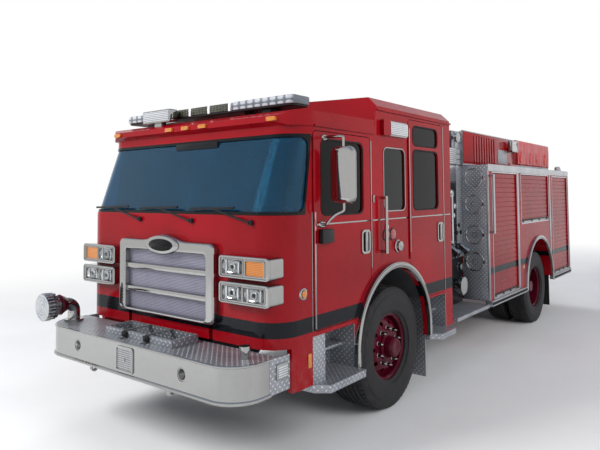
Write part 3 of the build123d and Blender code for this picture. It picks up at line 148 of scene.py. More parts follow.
# Materials
class Graph:
    """One material's nodes, wired to a Principled shader and read in Object coordinates."""

    def __init__(self, name: str, **values: object) -> None:
        """Start a material.

        Args:
            name: The material's name.
            **values: Shader sockets to set, spelled with underscores.
        """
        self.material = bpy.data.materials.new(name)
        self.material.use_nodes = True
        self.tree = self.material.node_tree
        self.tree.nodes.clear()
        output = node_in(self.tree, "OutputMaterial")
        self.shader = node_in(self.tree, "BsdfPrincipled")
        self.tree.links.new(self.shader.outputs["BSDF"], output.inputs["Surface"])
        for key, value in values.items():
            self.shader.inputs[key.replace("_", " ")].default_value = value
        self.place = node_in(self.tree, "TexCoord").outputs["Object"]
        split = node_in(self.tree, "SeparateXYZ")
        self.tree.links.new(self.place, split.inputs[0])
        self.x, self.y, self.z = split.outputs

    def feed(self, socket: Socket, value: object) -> None:
        """Put a constant or another node's output into a socket."""
        if isinstance(value, bpy.types.NodeSocket):
            self.tree.links.new(value, socket)
        else:
            socket.default_value = value

    def math(self, operation: str, first: object, second: object = 0.0) -> Socket:
        """A Math node's output.

        Args:
            operation: The Math node's operation.
            first: Its first input.
            second: Its second input.

        Returns:
            The output socket.
        """
        node = node_in(self.tree, "Math")
        node.operation = operation
        self.feed(node.inputs[0], first)
        self.feed(node.inputs[1], second)
        return node.outputs[0]

    def ramp(self, value: object, low: float, high: float, start: float = 0.0, end: float = 1.0) -> Socket:
        """A value carried smoothly from start to end as it goes from low to high."""
        node = node_in(self.tree, "MapRange")
        node.interpolation_type = "SMOOTHSTEP"
        for index, item in enumerate((value, low, high, start, end)):
            self.feed(node.inputs[index], item)
        return node.outputs[0]

    def band(self, value: object, low: float, high: float) -> Socket:
        """1 where the value lies between low and high, 0 elsewhere."""
        soft = 0.001
        rise = self.ramp(value, low - soft, low + soft)
        fall = self.ramp(value, high - soft, high + soft, 1.0, 0.0)
        return self.math("MULTIPLY", rise, fall)

    def stretch(self, scale: Point) -> Socket:
        """Object coordinates scaled by axis, for patterns that run one way."""
        node = node_in(self.tree, "Mapping")
        self.feed(node.inputs["Vector"], self.place)
        node.inputs["Scale"].default_value = scale
        return node.outputs[0]

    def noise(self, scale: float, detail: float = 3.0, vector: Socket | None = None) -> Socket:
        """A Noise texture's value."""
        node = node_in(self.tree, "TexNoise")
        node.inputs["Scale"].default_value = scale
        node.inputs["Detail"].default_value = detail
        self.feed(node.inputs["Vector"], vector or self.place)
        return node.outputs[0]

    def wave(self, value: object, count: float) -> Socket:
        """From 0 to 1 and back, count times to the metre."""
        angle = self.math("MULTIPLY", value, count * math.tau / 2)
        return self.math("ABSOLUTE", self.math("SINE", angle))

    def mix(self, factor: object, first: object, second: object) -> Socket:
        """A colour between two others."""
        node = node_in(self.tree, "Mix")
        node.data_type = "RGBA"
        self.feed(node.inputs["Factor"], factor)
        self.feed(node.inputs[6], first)
        self.feed(node.inputs[7], second)
        return node.outputs[2]

    def facing(self, axis: int) -> Socket:
        """1 on surfaces that face along an axis more than along the other two."""
        source = node_in(self.tree, "TexCoord").outputs["Normal"]
        split = node_in(self.tree, "SeparateXYZ")
        self.tree.links.new(source, split.inputs[0])
        return self.math("GREATER_THAN", self.math("ABSOLUTE", split.outputs[axis]), 0.6)

    def bump(self, height: object, strength: float, distance: float) -> None:
        """Shape the surface by a height, over whatever bump it has already."""
        node = node_in(self.tree, "Bump")
        node.inputs["Strength"].default_value = strength
        node.inputs["Distance"].default_value = distance
        self.feed(node.inputs["Height"], height)
        before = self.shader.inputs["Normal"].links
        if before:
            self.tree.links.new(before[0].from_socket, node.inputs["Normal"])
        self.tree.links.new(node.outputs[0], self.shader.inputs["Normal"])

    def look(self, colour: object, roughness: object) -> None:
        """Feed the shader's colour and roughness."""
        self.feed(self.shader.inputs["Base Color"], colour)
        self.feed(self.shader.inputs["Roughness"], roughness)


@dataclass(frozen=True)
class Band:
    """A level stripe round the vehicle.

    Attributes:
        low: Height of its lower edge.
        high: Height of its upper edge.
        colour: Its colour.
    """

    low: float
    high: float
    colour: Colour


@dataclass(frozen=True)
class Finish:
    """What a surface is made of.

    Attributes:
        name: The material's name.
    """

    name: str

    def build(self) -> bpy.types.Material:
        """Make the material."""
        raise NotImplementedError


@dataclass(frozen=True)
class CoachPaint(Finish):
    """Glossy coach paint under a clear coat, with stripes and a little road film low down.

    Attributes:
        colour: The paint's colour.
        bands: Level stripes.
        film: How much road film the lowest parts carry.
        seal: Whether the windshield's black rubber edge is drawn on the skin.
    """

    colour: Colour
    bands: tuple[Band, ...] = ()
    film: float = 0.25
    seal: bool = False

    def build(self) -> bpy.types.Material:
        """Make the material."""
        graph = Graph(self.name, Coat_Weight=0.45, Coat_Roughness=0.015, Coat_IOR=1.42, Specular_IOR_Level=0.02)
        depth = graph.ramp(graph.noise(0.9, 4.0), 0.3, 0.7)
        deep = shaded(self.colour, 0.72)
        colour = graph.mix(depth, deep, self.colour)
        for stripe in self.bands:
            colour = graph.mix(graph.band(graph.z, stripe.low, stripe.high), colour, stripe.colour)
        if self.seal:
            colour = graph.mix(self.rubber_edge(graph), colour, srgb(14, 15, 17))
        low = graph.ramp(graph.z, 0.5, 1.0, self.film, 0.0)
        dust = graph.math("MULTIPLY", low, graph.ramp(graph.noise(14, 6.0), 0.4, 0.8))
        graph.look(graph.mix(dust, colour, srgb(120, 104, 92)),
                   graph.ramp(graph.noise(6.0, 5.0), 0.2, 0.8, 0.22, 0.34))
        graph.bump(graph.noise(24.0, 2.0), 0.01, 0.002)
        return graph.material

    def rubber_edge(self, graph: Graph) -> Socket:
        """1 in a narrow band round the windshield's opening on the cab's skin."""
        sill, header, foot, rake, width = 1.868, 2.440, station(0.715), 0.147, 0.026
        below = graph.math("SUBTRACT", sill, graph.z)
        above = graph.math("SUBTRACT", graph.z, header)
        lean = graph.math("MULTIPLY", graph.math("SUBTRACT", graph.z, sill), rake)
        edge = graph.math("ADD", lean, foot)
        behind = graph.math("SUBTRACT", graph.y, edge)
        outside = graph.math("MAXIMUM", graph.math("MAXIMUM", below, above), behind)
        return graph.band(outside, -0.02, width)


@dataclass(frozen=True)
class Chrome(Finish):
    """Polished metal with faint smears.

    Attributes:
        tint: The metal's colour; the default is darker and warmer than bright chrome, a painted reflection of dim
            beige surroundings.
        low: Roughness where it is cleanest.
        high: Roughness in the smears.
    """

    # Darker and warmer than bright chrome: a painted reflection of dim beige surroundings.
    tint: Colour = (0.38, 0.377, 0.37, 1.0)
    low: float = 0.02
    high: float = 0.07

    def build(self) -> bpy.types.Material:
        """Make the material."""
        graph = Graph(self.name, Metallic=1.0)
        smear = graph.noise(26.0, 4.0)
        dull = shaded(self.tint, 0.97)
        graph.look(graph.mix(graph.ramp(smear, 0.35, 0.75), self.tint, dull),
                   graph.ramp(smear, 0.3, 0.8, self.low, self.high))
        graph.bump(graph.noise(7.0, 2.0), 0.02, 0.006)
        return graph.material


@dataclass(frozen=True)
class TreadPlate(Finish):
    """Bright aluminium plate with raised lozenges set two ways, whose tops are painted near-white as a painted
    highlight.

    Attributes:
        pitch: Distance between neighbouring lozenges.
    """

    pitch: float = 0.036

    def build(self) -> bpy.types.Material:
        """Make the material."""
        graph = Graph(self.name)
        faces = ((graph.y, graph.z, 0), (graph.x, graph.z, 1), (graph.x, graph.y, 2))
        height: object = 0.0
        for first, second, axis in faces:
            lozenge = graph.math("MULTIPLY", self.lozenge(graph, first, second), graph.facing(axis))
            height = graph.math("MAXIMUM", lozenge, height)
        dull = graph.mix(graph.ramp(graph.noise(5.0, 6.0), 0.3, 0.7), srgb(160, 163, 169), srgb(138, 141, 147))
        # The lozenges' tops are painted near-white, a painted highlight; the ground is two greys mixed at random.
        graph.look(graph.mix(height, dull, srgb(246, 247, 250)), graph.ramp(height, 0.0, 1.0, 0.40, 0.22))
        graph.feed(graph.shader.inputs["Metallic"], graph.ramp(height, 0.0, 1.0, 0.72, 0.15))
        graph.bump(height, 1.0, 0.0035)
        return graph.material

    def lozenge(self, graph: Graph, first: Socket, second: Socket) -> Socket:
        """A raised lozenge in every cell of a slanting grid, turned in every second cell.

        Args:
            graph: The material being made.
            first: One coordinate on the face.
            second: The other coordinate.

        Returns:
            Height from 0 to 1.
        """
        turn = DIAGONAL / self.pitch
        across = graph.math("MULTIPLY", graph.math("ADD", first, second), turn)
        along = graph.math("MULTIPLY", graph.math("SUBTRACT", first, second), turn)
        offsets = []
        parity: object = 0.0
        for value in (across, along):
            offsets.append(graph.math("ABSOLUTE", graph.math("SUBTRACT", graph.math("FRACT", value), 0.5)))
            parity = graph.math("ADD", graph.math("FLOOR", value), parity)
        odd = graph.math("GREATER_THAN", graph.math("MODULO", graph.math("ABSOLUTE", parity), 2.0), 0.5)
        swap = graph.math("MULTIPLY", graph.math("SUBTRACT", offsets[1], offsets[0]), odd)
        long = graph.math("ADD", offsets[0], swap)
        short = graph.math("SUBTRACT", offsets[1], swap)
        reach = graph.math("ADD", graph.math("DIVIDE", long, 0.47), graph.math("DIVIDE", short, 0.15))
        return graph.ramp(reach, 0.55, 1.0, 1.0, 0.0)


@dataclass(frozen=True)
class Brushed(Finish):
    """Satin metal with fine lines along one axis.

    Attributes:
        tint: The metal's colour.
        grain: Scale of the lines by axis; the small one runs along the lines.
        roughness: Middle roughness.
    """

    tint: Colour
    grain: Point = (400.0, 6.0, 400.0)
    roughness: float = 0.3

    def build(self) -> bpy.types.Material:
        """Make the material."""
        graph = Graph(self.name, Metallic=1.0)
        lines = graph.noise(1.0, 3.0, graph.stretch(self.grain))
        wash = graph.noise(3.0, 5.0)
        shade = shaded(self.tint, 0.8)
        graph.look(graph.mix(graph.ramp(wash, 0.3, 0.75), self.tint, shade),
                   graph.ramp(lines, 0.2, 0.8, self.roughness - 0.08, self.roughness + 0.1))
        graph.bump(lines, 0.12, 0.0006)
        return graph.material


@dataclass(frozen=True)
class Perforated(Finish):
    """Sheet metal with a close pattern of round holes.

    Attributes:
        tint: The sheet's colour.
        hole: Colour seen through the holes.
        pitch: Distance between holes.
    """

    tint: Colour
    hole: Colour
    pitch: float = 0.012

    def build(self) -> bpy.types.Material:
        """Make the material."""
        graph = Graph(self.name, Metallic=0.35)
        squares = []
        for value in (graph.x, graph.z):
            cell = graph.math("SUBTRACT", graph.math("FRACT", graph.math("DIVIDE", value, self.pitch)), 0.5)
            squares.append(graph.math("MULTIPLY", cell, cell))
        reach = graph.math("ADD", squares[0], squares[1])
        solid = graph.ramp(reach, 0.07, 0.12)
        graph.look(graph.mix(solid, self.hole, self.tint), graph.ramp(graph.noise(12, 4.0), 0.3, 0.7, 0.38, 0.55))
        graph.bump(solid, 0.6, 0.001)
        return graph.material


@dataclass(frozen=True)
class Plastic(Finish):
    """Moulded plastic, rubber or a coated casting, with a fine grain.

    Attributes:
        colour: Its colour.
        roughness: Middle roughness.
        grain: Scale of its grain.
        relief: Strength of its grain.
        shine: Strength of its mirror-like part.
    """

    colour: Colour
    roughness: float = 0.5
    grain: float = 500.0
    relief: float = 0.2
    shine: float = 0.3

    def build(self) -> bpy.types.Material:
        """Make the material."""
        graph = Graph(self.name, Specular_IOR_Level=self.shine)
        wash = graph.ramp(graph.noise(7.0, 6.0), 0.3, 0.75)
        pale = shaded(self.colour, 1.5, 0.006)
        graph.look(graph.mix(wash, self.colour, pale),
                   graph.ramp(wash, 0.0, 1.0, self.roughness, min(1.0, self.roughness + 0.15)))
        graph.bump(graph.noise(self.grain, 2.0), self.relief, 0.0012)
        return graph.material


@dataclass(frozen=True)
class TyreRubber(Finish):
    """Tyre rubber with road dust worked into it."""

    def build(self) -> bpy.types.Material:
        """Make the material."""
        graph = Graph(self.name, Specular_IOR_Level=0.35)
        dust = graph.ramp(graph.noise(16.0, 7.0), 0.42, 0.8, 0.0, 0.55)
        graph.look(graph.mix(dust, srgb(27, 27, 29), srgb(70, 67, 64)), graph.ramp(dust, 0.0, 0.5, 0.62, 0.85))
        graph.bump(graph.noise(260.0, 4.0), 0.25, 0.001)
        return graph.material


@dataclass(frozen=True)
class Glazing(Finish):
    """Tinted window glass.

    Attributes:
        tint: Colour of the light that comes through.
        rear: Colour of the panes behind the windshield, where they differ; painted shade of the cab's dark inside.
        clear: How much light goes through.
        bend: The glass's index.
    """

    tint: Colour
    rear: Colour | None = None
    clear: float = 1.0
    bend: float = 1.32

    def build(self) -> bpy.types.Material:
        """Make the material."""
        graph = Graph(self.name, Transmission_Weight=self.clear, IOR=self.bend)
        film = graph.ramp(graph.noise(2.2, 5.0), 0.3, 0.8)
        deep = shaded(self.tint, 0.8)
        colour = graph.mix(film, self.tint, deep)
        if self.rear:
            # The panes behind the windshield take the rear colour, painted shade of the cab's dark inside.
            colour = graph.mix(graph.ramp(graph.y, station(1.2), station(1.4)), colour, self.rear)
        graph.look(colour, graph.ramp(film, 0.0, 1.0, 0.0, 0.02))
        return graph.material


@dataclass(frozen=True)
class Lens(Finish):
    """A lamp's moulded lens with a close pattern of optics.

    Attributes:
        colour: The lens's colour.
        shade: Colour between the optics.
        flutes: Optics to the metre across and up.
        clear: How much light goes through.
        gloss: Strength of its clear outer face.
        skew: How far the pattern leans with Y; 1 suits lenses on the truck's sides and its ends alike.
    """

    colour: Colour
    shade: Colour
    flutes: Span = (90.0, 60.0)
    clear: float = 0.25
    gloss: float = 1.0
    skew: float = 1.0

    def build(self) -> bpy.types.Material:
        """Make the material."""
        graph = Graph(self.name, Coat_Weight=self.gloss, Coat_Roughness=0.02, Transmission_Weight=self.clear,
                      IOR=1.45)
        level = graph.math("ADD", graph.x, graph.math("MULTIPLY", graph.y, self.skew))
        optic = graph.math("MULTIPLY", graph.wave(level, self.flutes[0]), graph.wave(graph.z, self.flutes[1]))
        graph.look(graph.mix(graph.ramp(optic, 0.1, 0.7), self.shade, self.colour),
                   graph.ramp(optic, 0.0, 1.0, 0.25, 0.1))
        graph.bump(optic, 0.6, 0.003)
        return graph.material


@dataclass(frozen=True)
class Woven(Finish):
    """Heavy woven cloth or webbing.

    Attributes:
        colour: The yarn's colour.
        thread: Threads to the metre.
        sheen: Strength of the cloth's sheen.
    """

    colour: Colour
    thread: float = 700.0
    sheen: float = 0.4

    def build(self) -> bpy.types.Material:
        """Make the material."""
        graph = Graph(self.name, Sheen_Weight=self.sheen, Sheen_Roughness=0.5)
        rows = [graph.wave(graph.math("ADD", axis, graph.y), self.thread) for axis in (graph.x, graph.z)]
        weave = graph.math("MAXIMUM", rows[0], rows[1])
        wash = graph.ramp(graph.noise(9.0, 5.0), 0.3, 0.75)
        worn = shaded(self.colour, 1.4, 0.01)
        graph.look(graph.mix(wash, self.colour, worn), 0.85)
        graph.bump(weave, 0.35, 0.0008)
        return graph.material


@dataclass(frozen=True)
class CoatedCloth(Finish):
    """Vinyl-coated cover cloth with a fine weave under a soft shine.

    Attributes:
        colour: The coating's colour.
    """

    colour: Colour

    def build(self) -> bpy.types.Material:
        """Make the material."""
        graph = Graph(self.name, Coat_Weight=0.25, Coat_Roughness=0.3)
        wash = graph.ramp(graph.noise(4.0, 6.0), 0.3, 0.75)
        worn = shaded(self.colour, 1.25, 0.008)
        graph.look(graph.mix(wash, self.colour, worn), graph.ramp(wash, 0.0, 1.0, 0.38, 0.5))
        graph.bump(graph.noise(420.0, 2.0), 0.15, 0.001)
        graph.bump(graph.noise(7.0, 3.0), 0.35, 0.02)
        return graph.material


RED = srgb(146, 6, 20)
BLACK_STRIPE = srgb(16, 17, 22)
CAB_STRIPE = Band(0.950, 1.067, BLACK_STRIPE)
BODY_STRIPE = Band(0.965, 1.046, BLACK_STRIPE)

FINISHES = {finish.name: finish for finish in (
    CoachPaint("cab_paint", RED, (CAB_STRIPE,), seal=True),
    CoachPaint("body_paint", RED, (BODY_STRIPE,)),
    CoachPaint("shutter_paint", srgb(140, 7, 20), (BODY_STRIPE,)),
    CoachPaint("wheel_paint", srgb(78, 8, 28), film=0.0),
    CoachPaint("roof_paint", RED, film=0.0),
    Chrome("chrome"),
    Brushed("cast_chrome", srgb(214, 216, 218), (420.0, 420.0, 420.0), 0.42),
    TreadPlate("tread_plate"),
    Brushed("satin", srgb(188, 190, 194)),
    Brushed("satin_up", srgb(196, 198, 202), (400.0, 400.0, 6.0)),
    Brushed("panel_steel", srgb(150, 154, 160)),
    Perforated("screen", srgb(150, 148, 164), srgb(52, 52, 62)),
    Perforated("speaker_screen", srgb(170, 170, 172), srgb(24, 24, 26), 0.016),
    TyreRubber("tyre"),
    Plastic("rubber", srgb(22, 22, 23), 0.7, 300.0, 0.3),
    Plastic("black_plastic", srgb(20, 20, 22), 0.42),
    Plastic("chassis_black", srgb(30, 30, 32), 0.5, 90.0, 0.2),
    Plastic("casting", srgb(74, 76, 78), 0.6, 60.0, 0.5),
    Plastic("lining", srgb(66, 66, 68), 0.65, 220.0, 0.4),
    # The rear panes and the door glass are near black: painted shade of the cab's dark inside.
    Glazing("glass", srgb(36, 112, 150), srgb(14, 18, 22), 0.82),
    Glazing("door_glass", srgb(14, 18, 22), clear=0.9, bend=1.22),
    Lens("clear_lens", srgb(236, 238, 240), srgb(130, 134, 140)),
    Glazing("lamp_cover", srgb(248, 250, 252)),
    Plastic("lamp_white", srgb(232, 234, 236), 0.3, 120.0, 0.1),
    Lens("bar_lens", srgb(188, 193, 199), srgb(96, 101, 110), (12.0, 20.0), 0.1, 0.35, 0.0),
    Lens("bar_dark", srgb(74, 76, 58), srgb(34, 36, 30), (26.0, 50.0), 0.1, 0.35, 0.0),
    Lens("amber_lens", srgb(232, 142, 12), srgb(180, 94, 4), (110.0, 80.0), 0.15),
    Lens("red_lens", srgb(190, 16, 18), srgb(110, 6, 10), (90.0, 60.0), 0.15),
    Woven("seat_cloth", srgb(62, 64, 68)),
    Woven("webbing", srgb(24, 24, 26), 500.0, 0.2),
    CoatedCloth("cover_cloth", srgb(168, 12, 22)),
    Woven("tie_web", srgb(226, 44, 28), 500.0, 0.3),
    Plastic("gloss_black", srgb(8, 8, 10), 0.12, 90.0, 0.02, 0.12),
    # Near black. On the pump's control panels it is painted shade of the walkway.
    Plastic("panel_black", srgb(16, 18, 21), 0.3, 160.0, 0.08, 0.2),
    Brushed("panel_white", srgb(214, 216, 220), (6.0, 6.0, 500.0), 0.34),
    Plastic("gauge_face", srgb(172, 174, 172), 0.3, 60.0, 0.02),
    Chrome("mirror_glass", (0.78, 0.80, 0.82, 1.0), 0.0, 0.02),
)}

NODE_FINISHES = {
    "chassis_black": ("frame", "front_axle", "rear_axle"),
    "casting": ("engine", *both("knuckle")),
    "black_plastic": ("radiator", "wipers", "steering_wheel"),
    "chrome": ("bumper", "bumper_fittings", "front_suction", "pump_fittings", "bottle_doors", "grille",
               "lamp_bezels", "cab_trim", *(f"{door}_fittings" for door in DOORS)),
    "tread_plate": ("bumper_deck", "step_boards", "cab_steps", "hose_bed"),
    "panel_steel": ("pump_house", "pump_panels"),
    "satin": ("body_trim",),
    "screen": ("grille_screen",),
    "body_paint": ("body_sides",),
    "shutter_paint": ("shutters",),
    "cab_paint": ("cab_shell", *DOORS),
    "roof_paint": ("cab_roof",),
    "cover_cloth": ("hose_cover",),
    "red_lens": ("body_lamps",),
    "rubber": ("mud_flaps",),
    "glass": ("cab_glass",),
    "door_glass": tuple(f"{door}_glass" for door in DOORS),
    "clear_lens": ("clear_lamps", "roof_lamps"),
    "amber_lens": ("amber_lamps",),
    "lining": ("cab_floor", "dash"),
    "seat_cloth": ("seats",),
    "wheel_paint": both("front_wheel", "rear_wheels"),
    "tyre": both("front_tyre", "rear_tyres"),
}


# Studio
@dataclass
class Studio:
    """Pale floor, soft lights and the photograph's camera.

    Attributes:
        eye: The camera's place.
        yaw: Turn from straight ahead along +Y, in degrees.
        pitch: Tilt above the horizon, in degrees.
        roll: Turn about the line of sight, in degrees.
        focal: Focal length in pixels of the 600 pixel wide frame.
        centre: How far the frame's middle lies right of and below the line of sight, in pixels.
        width: The frame's width in pixels.
        fade: Distances between which the floor turns into the white background.
        fill: Strength of the light from all round.
        overhead: The background's colour overhead, as polished metal and glass show it.
    """

    eye: Point = (3.914, -6.933, 2.006)
    yaw: float = 38.103
    pitch: float = 2.821
    roll: float = -0.426
    focal: float = 576.78
    centre: Span = (-2.54, 60.2)
    width: float = 600.0
    fade: Span = (4.0, 11.0)
    fill: float = 0.5
    overhead: Colour = (0.36, 0.45, 0.58, 1.0)

    def build(self) -> None:
        """Set up everything that is not the vehicle."""
        scene = bpy.context.scene
        scene.view_settings.view_transform = "Standard"
        self.camera()
        self.floor()
        self.world()
        self.lamp("key", (-5.0, -11.5, 8.5), (0.0, -2.0, 1.2), 5.0, 1500.0)
        self.lamp("side", (11.0, -2.0, 6.5), (1.0, 0.0, 1.2), 6.0, 800.0)
        self.lamp("back", (-7.0, 9.0, 8.0), (0.0, 2.0, 1.5), 5.0, 500.0)

    def camera(self) -> None:
        """Aim the camera as the photograph was taken."""
        turn, lift = math.radians(self.yaw), math.radians(self.pitch)
        ahead = Vector((-math.sin(turn) * math.cos(lift), math.cos(turn) * math.cos(lift), math.sin(lift)))
        right = Vector((math.cos(turn), math.sin(turn), 0.0))
        up = right.cross(ahead)
        basis = Matrix((right, up, -ahead)).transposed()
        roll = Matrix.Rotation(math.radians(self.roll), 3, "Z")
        data = bpy.data.cameras.new("camera")
        data.sensor_width = 36.0
        data.lens = self.focal / self.width * data.sensor_width
        data.shift_x = self.centre[0] / self.width
        data.shift_y = -self.centre[1] / self.width
        data.clip_end = 200.0
        camera = placed("camera", data)
        camera.matrix_world = Matrix.Translation(self.eye) @ (basis @ roll).to_4x4()
        bpy.context.scene.camera = camera

    def floor(self) -> None:
        """Lay a wide pale floor under the tyres."""
        mesh = bmesh.new()
        bmesh.ops.create_grid(mesh, x_segments=1, y_segments=1, size=60.0)
        data = bpy.data.meshes.new("floor")
        mesh.to_mesh(data)
        mesh.free()
        floor = placed("floor", data)
        graph = Graph("floor", Specular_IOR_Level=0.2)
        worn = graph.ramp(graph.noise(0.6, 6.0), 0.3, 0.7)
        graph.look(graph.mix(worn, srgb(232, 232, 231), srgb(226, 226, 225)), 0.75)
        graph.bump(graph.noise(60.0, 5.0), 0.05, 0.004)
        squares = [graph.math("MULTIPLY", value, value) for value in (graph.x, graph.math("MULTIPLY", graph.y, 0.6))]
        away = graph.ramp(graph.math("SQRT", graph.math("ADD", *squares)), self.fade[0], self.fade[1])
        white = node_in(graph.tree, "Emission")
        blend = node_in(graph.tree, "MixShader")
        output = next(node for node in graph.tree.nodes if node.bl_idname == "ShaderNodeOutputMaterial")
        wire(graph.tree, (graph.math("MULTIPLY", away, self.sight(graph.tree)), blend.inputs[0]),
             (graph.shader.outputs[0], blend.inputs[1]), (white.outputs[0], blend.inputs[2]),
             (blend.outputs[0], output.inputs["Surface"]))
        data.materials.append(graph.material)

    def sight(self, tree: bpy.types.NodeTree) -> Socket:
        """1 for the rays that see the background: those of the camera, of metal and of glass."""
        rays = node_in(tree, "LightPath")
        found = rays.outputs["Is Camera Ray"]
        for name in ("Is Glossy Ray", "Is Transmission Ray"):
            either = node_in(tree, "Math")
            either.operation = "MAXIMUM"
            wire(tree, (found, either.inputs[0]), (rays.outputs[name], either.inputs[1]))
            found = either.outputs[0]
        return found

    def world(self) -> None:
        """A white background that turns blue-grey overhead, and plain soft light from all round."""
        world = bpy.data.worlds.new("studio")
        bpy.context.scene.world = world
        world.use_nodes = True
        tree = world.node_tree
        tree.nodes.clear()
        output = node_in(tree, "OutputWorld")
        shade = node_in(tree, "Background")
        shade.inputs["Color"].default_value = (0.86, 0.9, 1.0, 1.0)
        shade.inputs["Strength"].default_value = self.fill
        seen = node_in(tree, "Background")
        seen.inputs["Strength"].default_value = 1.0
        split = node_in(tree, "SeparateXYZ")
        place = node_in(tree, "TexCoord").outputs["Generated"]
        ramp = node_in(tree, "ValToRGB")
        low, high = ramp.color_ramp.elements
        low.position, low.color = 0.36, (1.0, 1.0, 1.0, 1.0)
        high.position, high.color = 0.72, self.overhead
        mixer = node_in(tree, "MixShader")
        wire(tree, (place, split.inputs[0]), (split.outputs[2], ramp.inputs[0]),
             (ramp.outputs[0], seen.inputs["Color"]), (self.sight(tree), mixer.inputs[0]),
             (shade.outputs[0], mixer.inputs[1]), (seen.outputs[0], mixer.inputs[2]),
             (mixer.outputs[0], output.inputs["Surface"]))

    def lamp(self, name: str, place: Point, target: Point, size: float, power: float) -> None:
        """Hang one soft square lamp.

        Args:
            name: The lamp's name.
            place: Where it hangs.
            target: What it points at.
            size: Its edge.
            power: Its power in watts.
        """
        data = bpy.data.lights.new(name, "AREA")
        data.size = size
        data.energy = power
        lamp = placed(name, data)
        lamp.location = place
        lamp.rotation_euler = (Vector(target) - Vector(place)).to_track_quat("-Z", "Y").to_euler()
        lamp.visible_glossy = False


# Mesh helpers
def outward(part: Part) -> None:
    """Turn a part's faces outwards."""
    bmesh.ops.recalc_face_normals(part, faces=part.faces)


def aimed(part: Part, direction: Vector, place: Vector) -> Part:
    """A part drawn along Z at the origin, turned along a direction and moved to a place."""
    turn = direction.to_track_quat("Z", "Y").to_matrix().to_4x4()
    bmesh.ops.transform(part, matrix=Matrix.Translation(place) @ turn, verts=part.verts)
    return part


def slab(low: Point, high: Point, radius: float = 0.0, axis: str = "Z", soft: float = 0.0,
         rounds: int = 5) -> Part:
    """A box whose edges along one axis are rounded and whose other edges are softened.

    Args:
        low: Lowest corner.
        high: Highest corner.
        radius: Radius of the edges along the axis.
        axis: X, Y or Z.
        soft: Width of the softening on all the other edges.
        rounds: Steps in each rounded edge.

    Returns:
        The box.
    """
    part = bmesh.new()
    bmesh.ops.create_cube(part, size=1.0)
    size = Vector(high) - Vector(low)
    bmesh.ops.scale(part, vec=size, verts=part.verts)
    bmesh.ops.translate(part, vec=(Vector(low) + Vector(high)) / 2, verts=part.verts)
    index = AXIS_NAMES.index(axis)
    if radius > 0:
        along = [edge for edge in part.edges if abs((edge.verts[0].co - edge.verts[1].co)[index]) > size[index] / 2]
        bevelled(part, along, radius, rounds)
    if soft > 0:
        bevelled(part, sharp(part, 40), soft, 2)
    return part


def sharp(part: Part, degrees: float) -> list[bmesh.types.BMEdge]:
    """A part's edges where its faces turn by more than some degrees."""
    return [edge for edge in part.edges if edge.is_manifold and edge.calc_face_angle() > math.radians(degrees)]


def bevelled(part: Part, edges: list[bmesh.types.BMEdge], width: float, steps: int, clamp: bool = True) -> None:
    """Round edges of a part, by less than the width where they are close if clamp is set."""
    bmesh.ops.bevel(part, geom=edges, offset=width, offset_type="OFFSET", segments=steps, profile=0.5,
                    affect="EDGES", material=-1, clamp_overlap=clamp)


def plate(x: float, y: Span, z: Span, out: Span, radius: float = 0.0, soft: float = 0.0) -> Part:
    """A slab on an upright face that looks along X.

    Args:
        x: X of the face.
        y: Stations of its ends.
        z: Heights of its bottom and top.
        out: How far from the face it starts and ends.
        radius: Radius of its corners.
        soft: Width of the softening on its other edges.

    Returns:
        The slab.
    """
    return slab((x + out[0], station(y[0]), z[0]), (x + out[1], station(y[1]), z[1]), radius, "X", soft)


def rod(start: Point, end: Point, radius: float, end_radius: float | None = None, sides: int = 20,
        soft: float = 0.0) -> Part:
    """A round bar or cone between two points.

    Args:
        start: Middle of its first end.
        end: Middle of its other end.
        radius: Radius at the start.
        end_radius: Radius at the end, the same as at the start if left out.
        sides: Facets round it.
        soft: Width of the softening on its end edges.

    Returns:
        The bar.
    """
    part = bmesh.new()
    run = Vector(end) - Vector(start)
    bmesh.ops.create_cone(part, cap_ends=True, segments=sides, radius1=radius,
                          radius2=radius if end_radius is None else end_radius, depth=run.length)
    if soft > 0:
        bevelled(part, sharp(part, 50), soft, 2)
    return aimed(part, run, (Vector(start) + Vector(end)) / 2)


def lathe(profile: Outline, start: Point, direction: Point, steps: int = 48) -> Part:
    """A profile turned about an axis.

    Args:
        profile: Pairs of distance along the axis and radius.
        start: A point on the axis, from which the distances count.
        direction: The axis.
        steps: Facets round it.

    Returns:
        The turned part.
    """
    part = bmesh.new()
    verts = [part.verts.new((radius, 0.0, along)) for along, radius in profile]
    edges = [part.edges.new(pair) for pair in zip(verts, verts[1:])]
    bmesh.ops.spin(part, geom=verts + edges, cent=(0, 0, 0), axis=(0, 0, 1), dvec=(0, 0, 0),
                   angle=math.tau, steps=steps, use_merge=True, use_duplicate=False)
    bmesh.ops.remove_doubles(part, verts=part.verts, dist=1e-6)
    outward(part)
    return aimed(part, Vector(direction), Vector(start))


def pipe(points: list[Point], radius: float, sides: int = 4, order: int = 3) -> Part:
    """A round bar along a smooth line.

    Args:
        points: The line's control points.
        radius: The bar's radius.
        sides: Steps in each quarter of its section.
        order: Order of the line; 2 is straight runs.

    Returns:
        The bar.
    """
    curve = bpy.data.curves.new("line", "CURVE")
    curve.dimensions = "3D"
    curve.bevel_depth = radius
    curve.bevel_resolution = sides
    curve.use_fill_caps = True
    spline = curve.splines.new("NURBS")
    spline.points.add(len(points) - 1)
    for point, place in zip(spline.points, points):
        point.co = (*place, 1.0)
    spline.order_u = order
    spline.use_endpoint_u = True
    spline.resolution_u = 8
    holder = bpy.data.objects.new("line", curve)
    mesh = bpy.data.meshes.new_from_object(holder)
    part = bmesh.new()
    part.from_mesh(mesh)
    bmesh.ops.remove_doubles(part, verts=part.verts, dist=1e-6)
    outward(part)
    bpy.data.objects.remove(holder)
    bpy.data.curves.remove(curve)
    bpy.data.meshes.remove(mesh)
    return part


